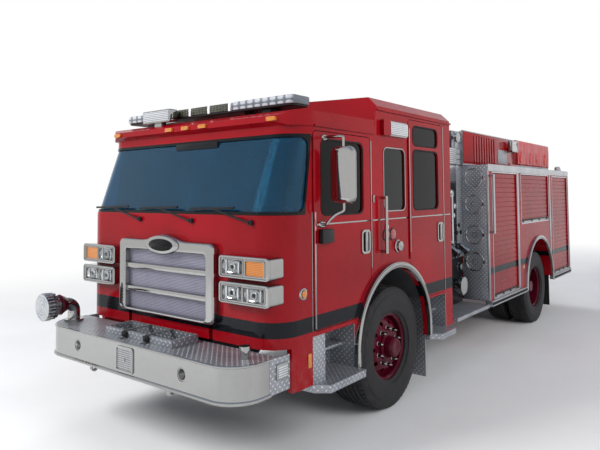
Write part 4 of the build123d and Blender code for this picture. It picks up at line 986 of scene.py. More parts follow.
def arch_bead(x: float, y: float, z: float, radius: float, low: float) -> Part:
    """A round bead along a wheel arch's band, with straight legs.

    Args:
        x: X of its middle line.
        y: Station of the arch's centre.
        z: Height of the arch's centre.
        radius: Radius of its middle line.
        low: Height of the legs' ends.

    Returns:
        The bead.
    """
    turns = [math.pi * step / 28 for step in range(29)]
    line = [(x, station(y - radius * math.cos(turn)), z + radius * math.sin(turn)) for turn in turns]
    return pipe([(x, station(y - radius), low)] + line + [(x, station(y + radius), low)], ARCH_BEAD, 3, 2)


def hoop(low: Point, high: Point, radius: float, axis: str, width: float, rounds: int = 5,
         soft: float = 0.0) -> Part:
    """A rounded frame, open along an axis.

    Args:
        low: Lowest corner.
        high: Highest corner.
        radius: Radius of its corners.
        axis: The axis along which it is open.
        width: Width of its rim.
        rounds: Steps in each corner.
        soft: Width of the rounding on its sharp edges.

    Returns:
        The frame.
    """
    part = slab(low, high, radius, axis, 0.0, rounds)
    part.normal_update()
    index = AXIS_NAMES.index(axis)
    middles = [face for face in part.faces if abs(face.normal[index]) > 0.9]
    bmesh.ops.inset_individual(part, faces=middles, thickness=width, use_even_offset=True)
    rims = [edge for face in middles for edge in face.edges]
    bmesh.ops.delete(part, geom=middles, context="FACES_ONLY")
    bmesh.ops.bridge_loops(part, edges=rims)
    outward(part)
    if soft > 0:
        bevelled(part, sharp(part, 60), soft, 3)
    return part


def oval(profile: Outline, centre: Point, direction: Point, stretch: Point) -> Part:
    """A turned part, drawn out along X, Y and Z to an oval."""
    part = lathe(profile, centre, direction, 40)
    bmesh.ops.scale(part, vec=stretch, verts=part.verts, space=Matrix.Translation(-Vector(centre)))
    return part


def stud(centre: Point, direction: Point, radius: float, height: float, crown: float = 0.3) -> Part:
    """A round button on a foot point, whose crown takes a share of its height."""
    flat = height * (1 - crown)
    return lathe([(0.0, 0.0), (0.0, radius), (flat, radius), (flat + (height - flat) * 0.6, radius * 0.82),
                  (height, radius * 0.4), (height, 0.0)], centre, direction, 24)


def mirrored(part: Part) -> Part:
    """A part's mirror image on the vehicle's other side."""
    copy = part.copy()
    bmesh.ops.scale(copy, vec=(-1, 1, 1), verts=copy.verts)
    outward(copy)
    return copy


def pair(parts: list[Part]) -> list[Part]:
    """Parts and their mirror images."""
    return parts + [mirrored(part) for part in parts]


def on(side: Side, parts: list[Part]) -> list[Part]:
    """Parts drawn for the left side, or their mirror images for the right one."""
    return parts if side is Side.LEFT else [mirrored(part) for part in parts]


class Workshop:
    """Makes materials once and turns parts into pieces that ride on the vehicle's bodies."""

    def __init__(self) -> None:
        """Start with no materials made."""
        self.made: dict[str, bpy.types.Material] = {}

    def material(self, finish: str) -> bpy.types.Material:
        """The material of a finish, made on its first use."""
        if finish not in self.made:
            self.made[finish] = FINISHES[finish].build()
        return self.made[finish]

    def dress_nodes(self) -> None:
        """Give every CAD node its finish."""
        for finish, nodes in NODE_FINISHES.items():
            for node in nodes:
                data = frame["nodes"][node].data
                data.materials.clear()
                data.materials.append(self.material(finish))
            LOG.info("%s on %d nodes", finish, len(nodes))

    def piece(self, name: str, parts: list[Part], finish: str, body: str = "chassis",
              replaces: tuple[str, ...] = (), angle: float = 35.0, slot: str = "") -> bpy.types.Object:
        """Join parts into one piece that rides on a body.

        Args:
            name: The piece's name.
            parts: Its parts, which are used up.
            finish: Its finish.
            body: The body it rides on.
            replaces: CAD nodes that it stands for.
            angle: Edges sharper than this stay sharp.
            slot: Not used.

        Returns:
            The piece.
        """
        whole = bmesh.new()
        data = bpy.data.meshes.new(name)
        for part in parts:
            part.to_mesh(data)
            whole.from_mesh(data)
            part.free()
        whole.to_mesh(data)
        whole.free()
        data.shade_smooth()
        data.set_sharp_from_angle(angle=math.radians(angle))
        data.materials.append(self.material(finish))
        obj = placed(name, data)
        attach(obj, body)
        if replaces:
            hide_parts(*replaces)
        LOG.info("%s: %d faces on %s", name, len(data.polygons), body)
        return obj

    def pieces(self, body: str, *rows: tuple) -> None:
        """Make pieces on one body, each from its name, its parts, its finish and the nodes it replaces."""
        for name, parts, finish, *replaces in rows:
            self.piece(name, parts, finish, body, tuple(replaces))

    def softened(self, node: str, width: float, finish: str) -> None:
        """Put a CAD node's own shape, with its sharp edges rounded, in the node's place.

        Args:
            node: The CAD node.
            width: Width of the rounding.
            finish: The piece's finish.
        """
        source = frame["nodes"][node]
        part = bmesh.new()
        part.from_mesh(source.data)
        bmesh.ops.remove_doubles(part, verts=part.verts, dist=2e-5)
        bmesh.ops.dissolve_limit(part, angle_limit=math.radians(0.6), use_dissolve_boundaries=False,
                                 verts=part.verts, edges=part.edges, delimit=set())
        obj = self.piece(f"{node}_rounded", [part], finish, source["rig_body"], (node,))
        rounding = obj.modifiers.new("rounding", "BEVEL")
        rounding.width = width
        rounding.segments = 2
        rounding.limit_method = "ANGLE"
        rounding.use_clamp_overlap = False
        rounding.angle_limit = math.radians(40)
        rounding.harden_normals = True


def ring_of(part: Part, count: int, centre: Point) -> Part:
    """A part, which is used up, and its copies set evenly round an axis along X."""
    bmesh.ops.spin(part, geom=part.verts[:] + part.edges[:] + part.faces[:], cent=centre, axis=OUTWARD,
                   dvec=(0, 0, 0), angle=math.tau * (count - 1) / count, steps=count - 1, use_merge=False,
                   use_duplicate=True)
    return part


@dataclass(frozen=True)
class TyreForm:
    """A truck tyre with round grooves, notched shoulders and rings on its walls.

    Attributes:
        radius: Outer radius.
        width: Width across the walls.
        bead: Half the distance between the beads.
        lugs: Notches round each shoulder.
        bead_radius: Radius of the beads.
        groove: Depth of the grooves.
    """

    radius: float
    width: float
    bead: float
    lugs: int = 64
    bead_radius: float = 0.3045
    groove: float = 0.013

    def profile(self) -> Outline:
        """Distance across and radius of the tyre's section, from bead to bead."""
        half = self.width / 2
        base = self.radius - self.groove
        wall = [(self.bead, self.bead_radius), (half * 0.84, self.bead_radius), (half * 0.93, self.radius * 0.60),
                (half * 0.955, self.radius * 0.615), (half * 0.97, self.radius * 0.60),
                (half * 0.99, self.radius * 0.68), (half, self.radius * 0.76), (half * 0.99, self.radius * 0.84),
                (half * 0.985, self.radius * 0.855), (half * 0.965, self.radius * 0.86),
                (half * 0.95, self.radius * 0.90), (half * 0.90, base - 0.006), (half * 0.84, base)]
        ribs = []
        for middle, reach in ((0.52, 0.11), (0.26, 0.10), (0.0, 0.10)):
            high, low = half * (middle + reach), half * (middle - reach)
            top = self.radius - 0.001
            ribs += [(high, base), (high - 0.003, top), (low + 0.003, top), (low, base)]
        right = wall + ribs[:-2]
        left = [(-across, level) for across, level in right]
        return left + right[::-1]

    def parts(self, middle: float, y: float) -> list[Part]:
        """The tyre round an axle along X.

        Args:
            middle: X of the middle of its tread.
            y: Y of the axle.

        Returns:
            The carcass and the two rows of shoulder lugs.
        """
        axle = (middle, y, self.radius)
        found = [lathe(self.profile(), axle, (1.0, 0.0, 0.0), 96)]
        half = self.width / 2
        length = math.tau * self.radius / self.lugs
        for sign in (-1, 1):
            inner, outer = half * 0.67, half * 0.90
            near, far = sorted((middle + sign * inner, middle + sign * outer))
            lug = slab((near, y - length * 0.40, 2 * self.radius - self.groove - 0.008),
                       (far, y + length * 0.40, 2 * self.radius - 0.001))
            for vert in lug.verts:
                if abs(vert.co.x - middle) > half * 0.8:
                    vert.co.z -= 0.012 if vert.co.z > 2 * self.radius - 0.006 else 0.004
                    vert.co.y += 0.006 * sign
            found.append(ring_of(lug, self.lugs, axle))
        return found


@dataclass
class RunningGear:
    """Tyres, wheel nut covers and hub trim."""

    front_y: float = station(2.097)
    rear_y: float = station(6.560)
    front: TyreForm = TyreForm(0.5625, 0.40, 0.143)
    rear: TyreForm = TyreForm(0.540, 0.29, 0.093, 60)
    front_middle: float = 0.985
    rear_middles: Span = (1.045, 0.705)
    nut_ring: float = 0.1675
    nuts: int = 10

    def build(self, shop: Workshop) -> None:
        """Make both axles' wheels."""
        for side in Side:
            name = side.label
            front = on(side, self.front.parts(self.front_middle, self.front_y))
            shop.piece(f"front_tyre_tread_{name}", front, "tyre", f"front_wheel_{name}",
                       (f"front_tyre_{name}",), 50.0)
            rear = [part for middle in self.rear_middles for part in self.rear.parts(middle, self.rear_y)]
            shop.piece(f"rear_tyre_treads_{name}", on(side, rear), "tyre", f"rear_wheels_{name}",
                       (f"rear_tyres_{name}",), 50.0)
            for end, y, radius, face in (("front_wheel", self.front_y, self.front.radius, 1.120),
                                         ("rear_wheels", self.rear_y, self.rear.radius, 0.889)):
                covers = on(side, self.nut_covers(y, radius, face))
                shop.piece(f"{end}_{name}_nuts", covers, "chrome", f"{end}_{name}")
            shop.piece(f"front_hub_cover_{name}", on(side, self.hub_cover()), "wheel_paint", f"front_wheel_{name}")

    def nut_covers(self, y: float, z: float, face: float) -> list[Part]:
        """Pointed covers over the wheel nuts.

        Args:
            y: Y of the axle.
            z: Height of the axle.
            face: X of the disc that the nuts hold.

        Returns:
            The ring of covers.
        """
        outline = [(0.0, 0.0), (0.0, 0.0205), (0.005, 0.0205), (0.008, 0.0165), (0.034, 0.0150), (0.050, 0.0095),
                   (0.060, 0.0035), (0.062, 0.0)]
        cover = lathe(outline, (face, y, z + self.nut_ring), (1.0, 0.0, 0.0), 12)
        return [ring_of(cover, self.nuts, (face, y, z))]

    def hub_cover(self) -> list[Part]:
        """The painted cap over a front hub, with its rings."""
        outline = [(0.0, 0.0), (0.0, 0.105), (0.010, 0.108), (0.018, 0.100), (0.060, 0.094), (0.088, 0.089),
                   (0.100, 0.078), (0.104, 0.058), (0.101, 0.050), (0.101, 0.0)]
        return [lathe(outline, (1.1265, self.front_y, self.front.radius), (1.0, 0.0, 0.0), 40)]


@dataclass
class FrontBumper:
    """Beads along the bumper, its speaker, end lamps and the tray's straps."""

    half: float = 1.214
    wrap: float = 0.330
    corner: float = 0.250
    low: float = 0.598
    high: float = 0.848
    suction: Span = (-1.100, 1.010)
    strap_xs: Span = (-0.15, 0.13)
    strap_half: float = 0.024

    def build(self, shop: Workshop) -> None:
        """Make every piece of the bumper."""
        shop.softened("bumper", 0.004, "chrome")
        beads = [self.bead(self.low + 0.004, 0.014), self.bead(self.high - 0.004, 0.009)]
        shop.pieces(
            "chassis",
            ("bumper_beads", beads, "chrome"),
            ("speaker_screen", self.screen(), "speaker_screen"),
            ("speaker_frame", self.frame(), "chrome"),
            ("bumper_end_lamp_bezels", pair(self.end_lamp(0.0)), "chrome"),
            ("bumper_end_lamps", pair(self.end_lamp(0.012)), "clear_lens"),
            ("suction_coupling", self.coupling(), "wheel_paint"),
            ("suction_cap_ribs", self.cap_ribs(), "cast_chrome"),
            ("tray_straps", self.straps(), "webbing"),
            ("tray_buckles", self.buckles(), "black_plastic"))

    def bead(self, z: float, radius: float) -> Part:
        """A half-round bead that follows the bumper's plan.

        Args:
            z: Its height.
            radius: Its radius.

        Returns:
            The bead.
        """
        centre = (self.half - self.corner, station(self.corner))
        turns = [math.radians(90.0 * step / 12) for step in range(13)]
        corner = [(centre[0] + self.corner * math.cos(turn), centre[1] - self.corner * math.sin(turn), z)
                  for turn in turns]
        left = [(self.half, station(self.wrap), z)] + corner
        return pipe(left + [(-x, y, height) for x, y, height in reversed(left)], radius, 3, 2)

    def coupling(self) -> list[Part]:
        """The painted cone behind the suction's cap."""
        x, z = self.suction
        return [lathe([(0.0, 0.050), (0.0, 0.088), (0.012, 0.092), (0.022, 0.086), (0.062, 0.066), (0.066, 0.060),
                       (0.066, 0.050), (0.0, 0.050)], (x, station(0.062), z), BACKWARD, 40)]

    def cap_ribs(self) -> list[Part]:
        """Rings on the suction cap's face and grip ribs round its rim."""
        x, z = self.suction
        outline = [(0.0, 0.0)]
        for ring in (0.026, 0.052, 0.078, 0.106):
            outline += [(0.001, ring - 0.009), (0.005, ring - 0.006), (0.005, ring + 0.006), (0.001, ring + 0.009)]
        found = [lathe(outline + [(-0.002, 0.1165), (-0.002, 0.0)], (x, station(-0.090), z), AHEAD)]
        for number in range(24):
            turn = math.tau * number / 24
            across, up = x + 0.117 * math.cos(turn), z + 0.117 * math.sin(turn)
            found.append(rod((across, station(-0.084), up), (across, station(-0.030), up), 0.0055, sides=8))
        return found

    def screen(self) -> list[Part]:
        """The speaker's perforated face."""
        y = station(0.0)
        return [slab((-0.096, y - 0.004, 0.640), (0.096, y + 0.004, 0.805), 0.018, "Y")]

    def frame(self) -> list[Part]:
        """The rounded frame round the speaker and its centre bolt."""
        y = station(0.0)
        outer = slab((-0.112, y - 0.009, 0.624), (0.112, y + 0.003, 0.821), 0.026, "Y")
        face = [item for item in outer.faces if item.normal.y < -0.9]
        bmesh.ops.inset_region(outer, faces=face, thickness=0.015)
        bmesh.ops.delete(outer, geom=face, context="FACES")
        back = [item for item in outer.faces if item.normal.y > 0.9]
        bmesh.ops.delete(outer, geom=back, context="FACES")
        bmesh.ops.solidify(outer, geom=outer.faces[:], thickness=0.003)
        return [outer, rod((0.0, y - 0.012, 0.722), (0.0, y, 0.722), 0.012, sides=6)]

    def end_lamp(self, pull: float) -> list[Part]:
        """The lamp on a bumper end, its housing or, drawn in by pull, its lens."""
        reach = 0.016 if pull else 0.012
        low = (self.half - 0.002, station(0.395) + pull, 0.688 + pull)
        high = (self.half + reach, station(0.520) - pull, 0.800 - pull)
        return [slab(low, high, 0.012, "X", 0.003)]

    def straps(self) -> list[Part]:
        """Two flat straps over the tray's front curb and down the deck."""
        found = []
        y = station(0.110)
        for x in self.strap_xs:
            low, high = x - self.strap_half, x + self.strap_half
            found.append(slab((low, y - 0.004, 0.852), (high, y, 0.908), soft=0.0015))
            found.append(slab((low, y - 0.004, 0.905), (high, y + 0.250, 0.909), soft=0.0015))
            found.append(slab((low, y - 0.050, 0.8485), (high, y - 0.002, 0.8525), soft=0.0015))
        return found

    def buckles(self) -> list[Part]:
        """The straps' side-release buckles."""
        found = []
        y = station(0.110)
        for x in self.strap_xs:
            found.append(slab((x - 0.032, y - 0.018, 0.858), (x + 0.032, y - 0.003, 0.900), 0.006, "Y", 0.003))
            found.append(slab((x - 0.020, y - 0.022, 0.866), (x + 0.020, y - 0.017, 0.892), 0.004, "Y", 0.002))
        return found


@dataclass
class CabFace:
    """Grille, lamps and the light bar's modules on the cab's front and roof."""

    bezel_x: float = 0.680
    lamp_face: float = station(0.363)
    wells: tuple[tuple[float, float, float, float], ...] = (
        (0.025, 0.245, 1.402, 1.518), (0.025, 0.235, 1.212, 1.323), (0.250, 0.460, 1.212, 1.323))
    bar: tuple[float, float, float, float] = (0.760, 1.010, 2.705, 2.790)
    bar_half: float = 1.085
    modules: tuple[float, ...] = (-0.38, -0.13, 0.12, 0.37)
    grille_half: float = 0.6095
    bell_half: float = 0.290

    def build(self, shop: Workshop) -> None:
        """Make every piece of the cab's front."""
        visor = slab((-0.150, station(0.622), 2.392), (0.380, station(0.668), 2.447), 0.010, "Y", 0.003)
        scene_lens = plate(0.0, (2.005, 2.340), (2.547, 2.668), (1.236, 1.258), 0.010, 0.003)
        scene_frame = plate(0.0, (1.996, 2.349), (2.5355, 2.6795), (1.2195, 1.242), 0.014, 0.004)
        brow_lens = slab((-0.655, station(0.642), 2.686), (-0.285, station(0.652), 2.776), 0.010, "Y", 0.002)
        shop.pieces(
            "cab",
            ("grille_surround", self.surround(), "chrome", "grille"),
            ("lamp_frames", pair(self.lamp_frames()), "chrome"),
            ("grille_badge_ring", self.badge((0.212, 0.080), 0.020), "chrome"),
            ("grille_badge_plate", self.badge((0.166, 0.054), 0.026), "gloss_black"),
            ("header_strip", [visor], "panel_black"),
            ("bar_bracket", self.bracket(), "black_plastic"),
            ("lamp_reflectors", pair(self.reflectors()), "chrome", "clear_lamps"),
            ("lamp_covers", pair(self.covers()), "lamp_cover"),
            ("lamp_bulbs", pair(self.bulbs()), "lamp_white"),
            ("side_scene_lamps", pair([scene_lens]), "clear_lens"),
            ("side_scene_frames", pair([scene_frame]), "chrome"),
            ("light_bar_tray", self.tray(), "black_plastic", "roof_lamps"),
            ("light_bar_ends", self.end_lenses(), "bar_lens"),
            ("light_bar_middle", self.middle_lenses(), "bar_dark"),
            ("light_bar_dividers", self.dividers(), "lamp_white"),
            ("brow_lamp_case", self.brow_case(), "chrome"),
            ("brow_lamp_lens", [brow_lens], "clear_lens"))

    def outline(self, half: float, low: float, high: float, radius: float, rise: float) -> Outline:
        """The grille's outline, or its opening's, with a bell-shaped rise in the middle of the top.

        Args:
            half: Half its width.
            low: Height of its bottom.
            high: Height of its top beside the rise.
            radius: Radius of its corners.
            rise: Height of the bell.

        Returns:
            X and Z of its points, as many for any sizes.
        """
        right = []
        for centre, start in (((half - radius, low + radius), -90), ((half - radius, high - radius), 0)):
            for step in range(7):
                turn = math.radians(start + 15 * step)
                right.append((centre[0] + radius * math.cos(turn), centre[1] + radius * math.sin(turn)))
        for step in range(1, 11):
            x = (half - radius) * (1 - step / 10)
            bell = 0.5 * (1 + math.cos(math.pi * min(1.0, x / self.bell_half)))
            right.append((x, high + rise * bell))
        return right + [(-x, z) for x, z in reversed(right[:-1])]

    def surround(self) -> list[Part]:
        """The grille's bright surround with its bell, rounded outside and in, and its two bars."""
        part = bmesh.new()
        back = station(0.4185)
        rims = []
        for sizes in ((self.grille_half, 0.992, 1.620, 0.050, 0.052), (0.5195, 1.020, 1.530, 0.030, 0.0)):
            verts = [part.verts.new((x, back, z)) for x, z in self.outline(*sizes)]
            rims += [part.edges.new((one, other)) for one, other in zip(verts, verts[1:] + verts[:1])]
        flat = bmesh.ops.bridge_loops(part, edges=rims)["faces"]
        front = bmesh.ops.extrude_face_region(part, geom=flat)["geom"]
        verts = [item for item in front if isinstance(item, bmesh.types.BMVert)]
        bmesh.ops.translate(part, vec=(0.0, station(0.355) - back, 0.0), verts=verts)
        outward(part)
        outer = [edge for edge in self.front_edges(part)
                 if not all(abs(vert.co.x) < 0.525 and 1.015 < vert.co.z < 1.535 for vert in edge.verts)]
        bevelled(part, outer, 0.024, 6, False)
        bevelled(part, self.front_edges(part), 0.014, 4, False)
        bars = [slab((-0.524, station(0.368), z - 0.023), (0.524, station(0.409), z + 0.023), soft=0.010)
                for z in (1.185, 1.385)]
        return [part] + bars

    def front_edges(self, part: Part) -> list[bmesh.types.BMEdge]:
        """The surround's sharp edges on its front."""
        return [edge for edge in sharp(part, 60) if max(vert.co.y for vert in edge.verts) < station(0.36)]

    def lamp_frames(self) -> list[Part]:
        """Rounded rims on the lamp housings and round each lamp."""
        found = []
        for (low, high), lamps in (((1.380, 1.540), ((0.025, 0.245), (0.270, 0.460))),
                                   ((1.190, 1.345), ((0.025, 0.235), (0.250, 0.460)))):
            found.append(hoop((self.bezel_x - 0.004, station(0.352), low - 0.004),
                              (self.bezel_x + 0.504, station(0.375), high + 0.004), 0.030, "Y", 0.018, 6, 0.007))
            for start, end in lamps:
                found.append(hoop((self.bezel_x + start - 0.006, station(0.354), low + 0.018),
                                  (self.bezel_x + end + 0.006, station(0.364), high - 0.018), 0.018, "Y", 0.009,
                                  5, 0.003))
        return found

    def badge(self, half: Span, reach: float) -> list[Part]:
        """The bare oval plate at the top of the grille or the ring that holds it, by half sizes and reach."""
        outline = [(-0.004, 0.0), (-0.004, 1.0), (reach * 0.4, 1.0), (reach * 0.8, 0.94), (reach, 0.86),
                   (reach, 0.0)]
        return [oval(outline, (0.0, station(0.356), 1.585), AHEAD, (half[0], 1.0, half[1]))]

    def bracket(self) -> list[Part]:
        """The bar's dark foot and its cable on the left."""
        foot = slab((0.430, station(0.880), 2.640), (0.540, station(0.930), 2.708), soft=0.003)
        for vert in foot.verts:
            if vert.co.z > 2.67:
                vert.co.x += (0.485 - vert.co.x) * 0.45
        return [foot, pipe([(0.62, station(0.86), 2.702), (0.615, station(0.82), 2.675), (0.60, station(0.80), 2.66),
                            (0.58, station(0.80), 2.635)], 0.006)]

    def reflectors(self) -> list[Part]:
        """Shallow bright bowls in the clear lamps."""
        found = []
        for left, right, low, high in self.wells:
            part = bmesh.new()
            bmesh.ops.create_uvsphere(part, u_segments=24, v_segments=16, radius=1.0)
            bmesh.ops.bisect_plane(part, geom=part.verts[:] + part.edges[:] + part.faces[:], plane_co=(0, 0, 0),
                                   plane_no=(0, -1, 0), clear_outer=True)
            size = ((right - left) / 2 - 0.004, 0.012, (high - low) / 2 - 0.003)
            middle = (self.bezel_x + (left + right) / 2, self.lamp_face + 0.0005, (low + high) / 2)
            bmesh.ops.scale(part, vec=size, verts=part.verts)
            bmesh.ops.translate(part, vec=middle, verts=part.verts)
            bmesh.ops.reverse_faces(part, faces=part.faces)
            found.append(part)
        return found

    def bulbs(self) -> list[Part]:
        """Pale bulbs and the strips between them in the clear lamps."""
        found = []
        for left, right, low, high in self.wells:
            middle = self.bezel_x + (left + right) / 2
            level = (low + high) / 2
            found.append(rod((middle, self.lamp_face - 0.001, level), (middle, self.lamp_face + 0.010, level),
                             0.020, 0.026, 16, 0.002))
            for x in (middle - 0.062, middle + 0.062):
                found.append(slab((x - 0.006, self.lamp_face, low + 0.012),
                                  (x + 0.006, self.lamp_face + 0.008, high - 0.012), 0.003, "Y"))
        return found

    def covers(self) -> list[Part]:
        """Clear covers over the lamps."""
        return [slab((self.bezel_x + left + 0.001, self.lamp_face - 0.004, low + 0.001),
                     (self.bezel_x + right - 0.001, self.lamp_face - 0.001, high - 0.001), 0.012, "Y", 0.001)
                for left, right, low, high in self.wells]

    def tray(self) -> list[Part]:
        """The light bar's base and its two feet."""
        front, rear, low, _ = self.bar
        found = [slab((-self.bar_half + 0.012, station(front) + 0.012, low),
                      (self.bar_half - 0.012, station(rear) - 0.012, low + 0.018), 0.05, "Z", 0.003)]
        for x in (-0.76, 0.76):
            found.append(slab((x - 0.05, station(front) + 0.05, low - 0.045), (x + 0.05, station(rear) - 0.05, low),
                              soft=0.008))
        return found

    def middle_lenses(self) -> list[Part]:
        """The darker lenses in the bar's middle."""
        front, rear, low, high = self.bar
        return [slab((start + 0.012, station(front) + 0.004, low + 0.014),
                     (end - 0.012, station(rear) - 0.004, high - 0.002), soft=0.008)
                for start, end in zip(self.modules, self.modules[1:])]

    def end_lenses(self) -> list[Part]:
        """The bar's clear end lenses."""
        front, rear, low, high = self.bar
        return [slab((start, station(front), low + 0.014), (end, station(rear), high), 0.05, "Z", 0.010)
                for start, end in ((-self.bar_half, -0.40), (0.39, self.bar_half))]

    def dividers(self) -> list[Part]:
        """White bars between the modules."""
        front, rear, low, high = self.bar
        return [slab((x - 0.014, station(front) + 0.001, low + 0.010), (x + 0.014, station(rear) - 0.001, high),
                     soft=0.004) for x in (-0.39, -0.13, 0.12, 0.38)]

    def brow_case(self) -> list[Part]:
        """The housing of the flood lamp on the brow."""
        low, high = (-0.670, station(0.648), 2.672), (-0.270, station(0.740), 2.790)
        return [slab(low, high, 0.016, "Y", 0.004),
                slab((-0.52, station(0.67), 2.62), (-0.42, station(0.73), 2.674), soft=0.004)]


@dataclass
class CabSides:
    """Hinges, belt strips, handles, mirrors and lamps on the cab's sides."""

    skin: float = 1.219
    door_edges: tuple[Span, ...] = ((0.838, 1.687), (2.403, 3.200))
    belt: Span = (1.761 - 0.006, 1.761 + 0.006)
    handles: Span = (1.592, 3.105)
    handle_z: float = 1.580
    head_low: Point = (1.290, station(0.955), 1.925)
    head_high: Point = (1.500, station(1.045), 2.370)
    arm: float = 0.0115
    lamp_ys: Span = (1.950, 2.072)
    lamp_z: float = 1.615

    def build(self, shop: Workshop) -> None:
        """Make both sides."""
        bead = arch_bead(self.skin + 0.026, 2.097, 0.650, 0.680, 0.552)
        shop.pieces(
            "cab",
            ("front_arch_beads", pair([bead]), "chrome"),
            ("cab_rear_rails", pair(self.rear_rail()), "satin_up"))
        for side in Side:
            self.doors(shop, side)
            self.mirror(shop, side)
            self.body_side(shop, side)

    def rear_rail(self) -> list[Part]:
        """The upright grab rail on the cab's rear corner, with its two stand-offs."""
        x, y = 1.190, station(3.494)
        rail = rod((x, y, 1.420), (x, y, 1.990), 0.015, soft=0.003)
        feet = [rod((x, station(3.394), z), (x, y, z), 0.012) for z in (1.445, 1.965)]
        bases = [rod((x, station(3.396), z), (x, station(3.404), z), 0.024, soft=0.002) for z in (1.445, 1.965)]
        return [rail] + feet + bases

    def strip(self, y: Span, z: Span, proud: float = 0.004) -> Part:
        """A flat strip on the skin between two stations and two heights."""
        return plate(self.skin, y, z, (0.0002, proud), soft=0.0012)

    def window_seal(self, y: Span, z: Span, width: float, proud: float) -> Part:
        """A rounded frame round a window's opening."""
        return hoop((self.skin + 0.0003, station(y[0] - width), z[0] - width),
                    (self.skin + proud, station(y[1] + width), z[1] + width), 0.055 + width, "X", width)

    def doors(self, shop: Workshop, side: Side) -> None:
        """Trim, handles and window seals on the doors of one side."""
        windows = {"front": (((0.950, 1.556), (1.836, 2.430)),),
                   "crew": (((2.510, 3.066), (1.837, 2.428)), ((2.510, 3.066), (2.485, 2.670)))}
        starts = {"front": (0.962, 1.860), "crew": (1.420, 2.640)}
        for name, edges, handle in zip(("front", "crew"), self.door_edges, self.handles):
            body = f"{name}_door_{side.label}"
            hinge = plate(self.skin, (edges[0] + 0.005, edges[0] + 0.030), starts[name], (0.0042, 0.0062),
                          soft=0.0008)
            belt = self.strip((edges[0] + 0.045, edges[1] - 0.012), self.belt)
            seals = [self.window_seal(*window, 0.013, 0.004) for window in windows[name]]
            pocket = plate(self.skin, (handle - 0.052, handle + 0.052),
                           (self.handle_z - 0.088, self.handle_z + 0.088), (0.0002, 0.003), 0.03)
            shop.pieces(
                body,
                (f"{body}_trim", on(side, [hinge, belt]), "chrome"),
                (f"{body}_window_seals", on(side, seals), "rubber"),
                (f"{body}_handle", on(side, self.handle(handle)), "chrome", f"{body}_fittings"),
                (f"{body}_handle_pocket", on(side, [pocket]), "gloss_black"))

    def handle(self, y: float) -> list[Part]:
        """A handle's rounded frame and its paddle."""
        low, high = station(y - 0.070), station(y + 0.070)
        frame_part = hoop((self.skin + 0.0003, low, self.handle_z - 0.104),
                          (self.skin + 0.010, high, self.handle_z + 0.104), 0.040, "X", 0.020, 6)
        paddle = plate(self.skin, (y - 0.019, y + 0.021), (self.handle_z - 0.086, self.handle_z + 0.086),
                       (0.003, 0.018), 0.014, 0.004)
        pivot = rod((self.skin + 0.002, station(y - 0.050), self.handle_z + 0.060),
                    (self.skin + 0.010, station(y - 0.050), self.handle_z + 0.060), 0.011, soft=0.002)
        return [frame_part, paddle, pivot]

    def mirror(self, shop: Workshop, side: Side) -> None:
        """One door mirror on its bent arms."""
        body = f"front_door_{side.label}"
        low, high = self.head_low, self.head_high
        middle = (low[0] + high[0]) / 2
        y = (low[1] + high[1]) / 2
        head = slab(low, high, 0.060, "Y", 0.026, 8)
        band = hoop((low[0] - 0.001, high[1] - 0.034, low[2] - 0.001),
                    (high[0] + 0.001, high[1] - 0.024, high[2] + 0.001), 0.060, "Y", 0.010, 8)
        top_foot = (self.skin, station(0.990), 2.450)
        low_foot = (self.skin, station(0.950), 1.760)
        upper = pipe([top_foot, (self.skin + 0.05, station(0.990), 2.452), (middle - 0.02, station(0.995), 2.450),
                      (middle, y, 2.445), (middle, y, 2.420), (middle, y, high[2] - 0.01)], self.arm)
        lower = pipe([(middle, y, low[2] + 0.01), (middle, y, low[2] - 0.03), (middle, y, low[2] - 0.06),
                      (middle - 0.05, station(0.975), 1.845), (self.skin + 0.075, station(0.955), 1.800),
                      (self.skin + 0.05, station(0.950), 1.765), (self.skin + 0.03, station(0.950), 1.760),
                      low_foot], self.arm)
        feet = [oval([(0.0, 0.0), (0.0, 1.0), (0.007, 1.0), (0.012, 0.8), (0.013, 0.0)], foot, OUTWARD,
                     (1.0, wide, 0.024)) for foot, wide in ((top_foot, 0.040), (low_foot, 0.052))]
        glass = slab((low[0] + 0.016, high[1] - 0.0015, low[2] + 0.016),
                     (high[0] - 0.016, high[1] + 0.0015, high[2] - 0.016), 0.045, "Y", 0.0, 8)
        box = plate(self.skin, (0.905, 1.058), (1.612, 1.722), (0.0003, 0.045), 0.010, 0.005)
        shop.pieces(
            body,
            (f"mirror_{side.label}", on(side, [head, band, upper, lower] + feet), "chrome"),
            (f"mirror_glass_{side.label}", on(side, [glass]), "mirror_glass"),
            (f"door_box_{side.label}", on(side, [box]), "black_plastic"))

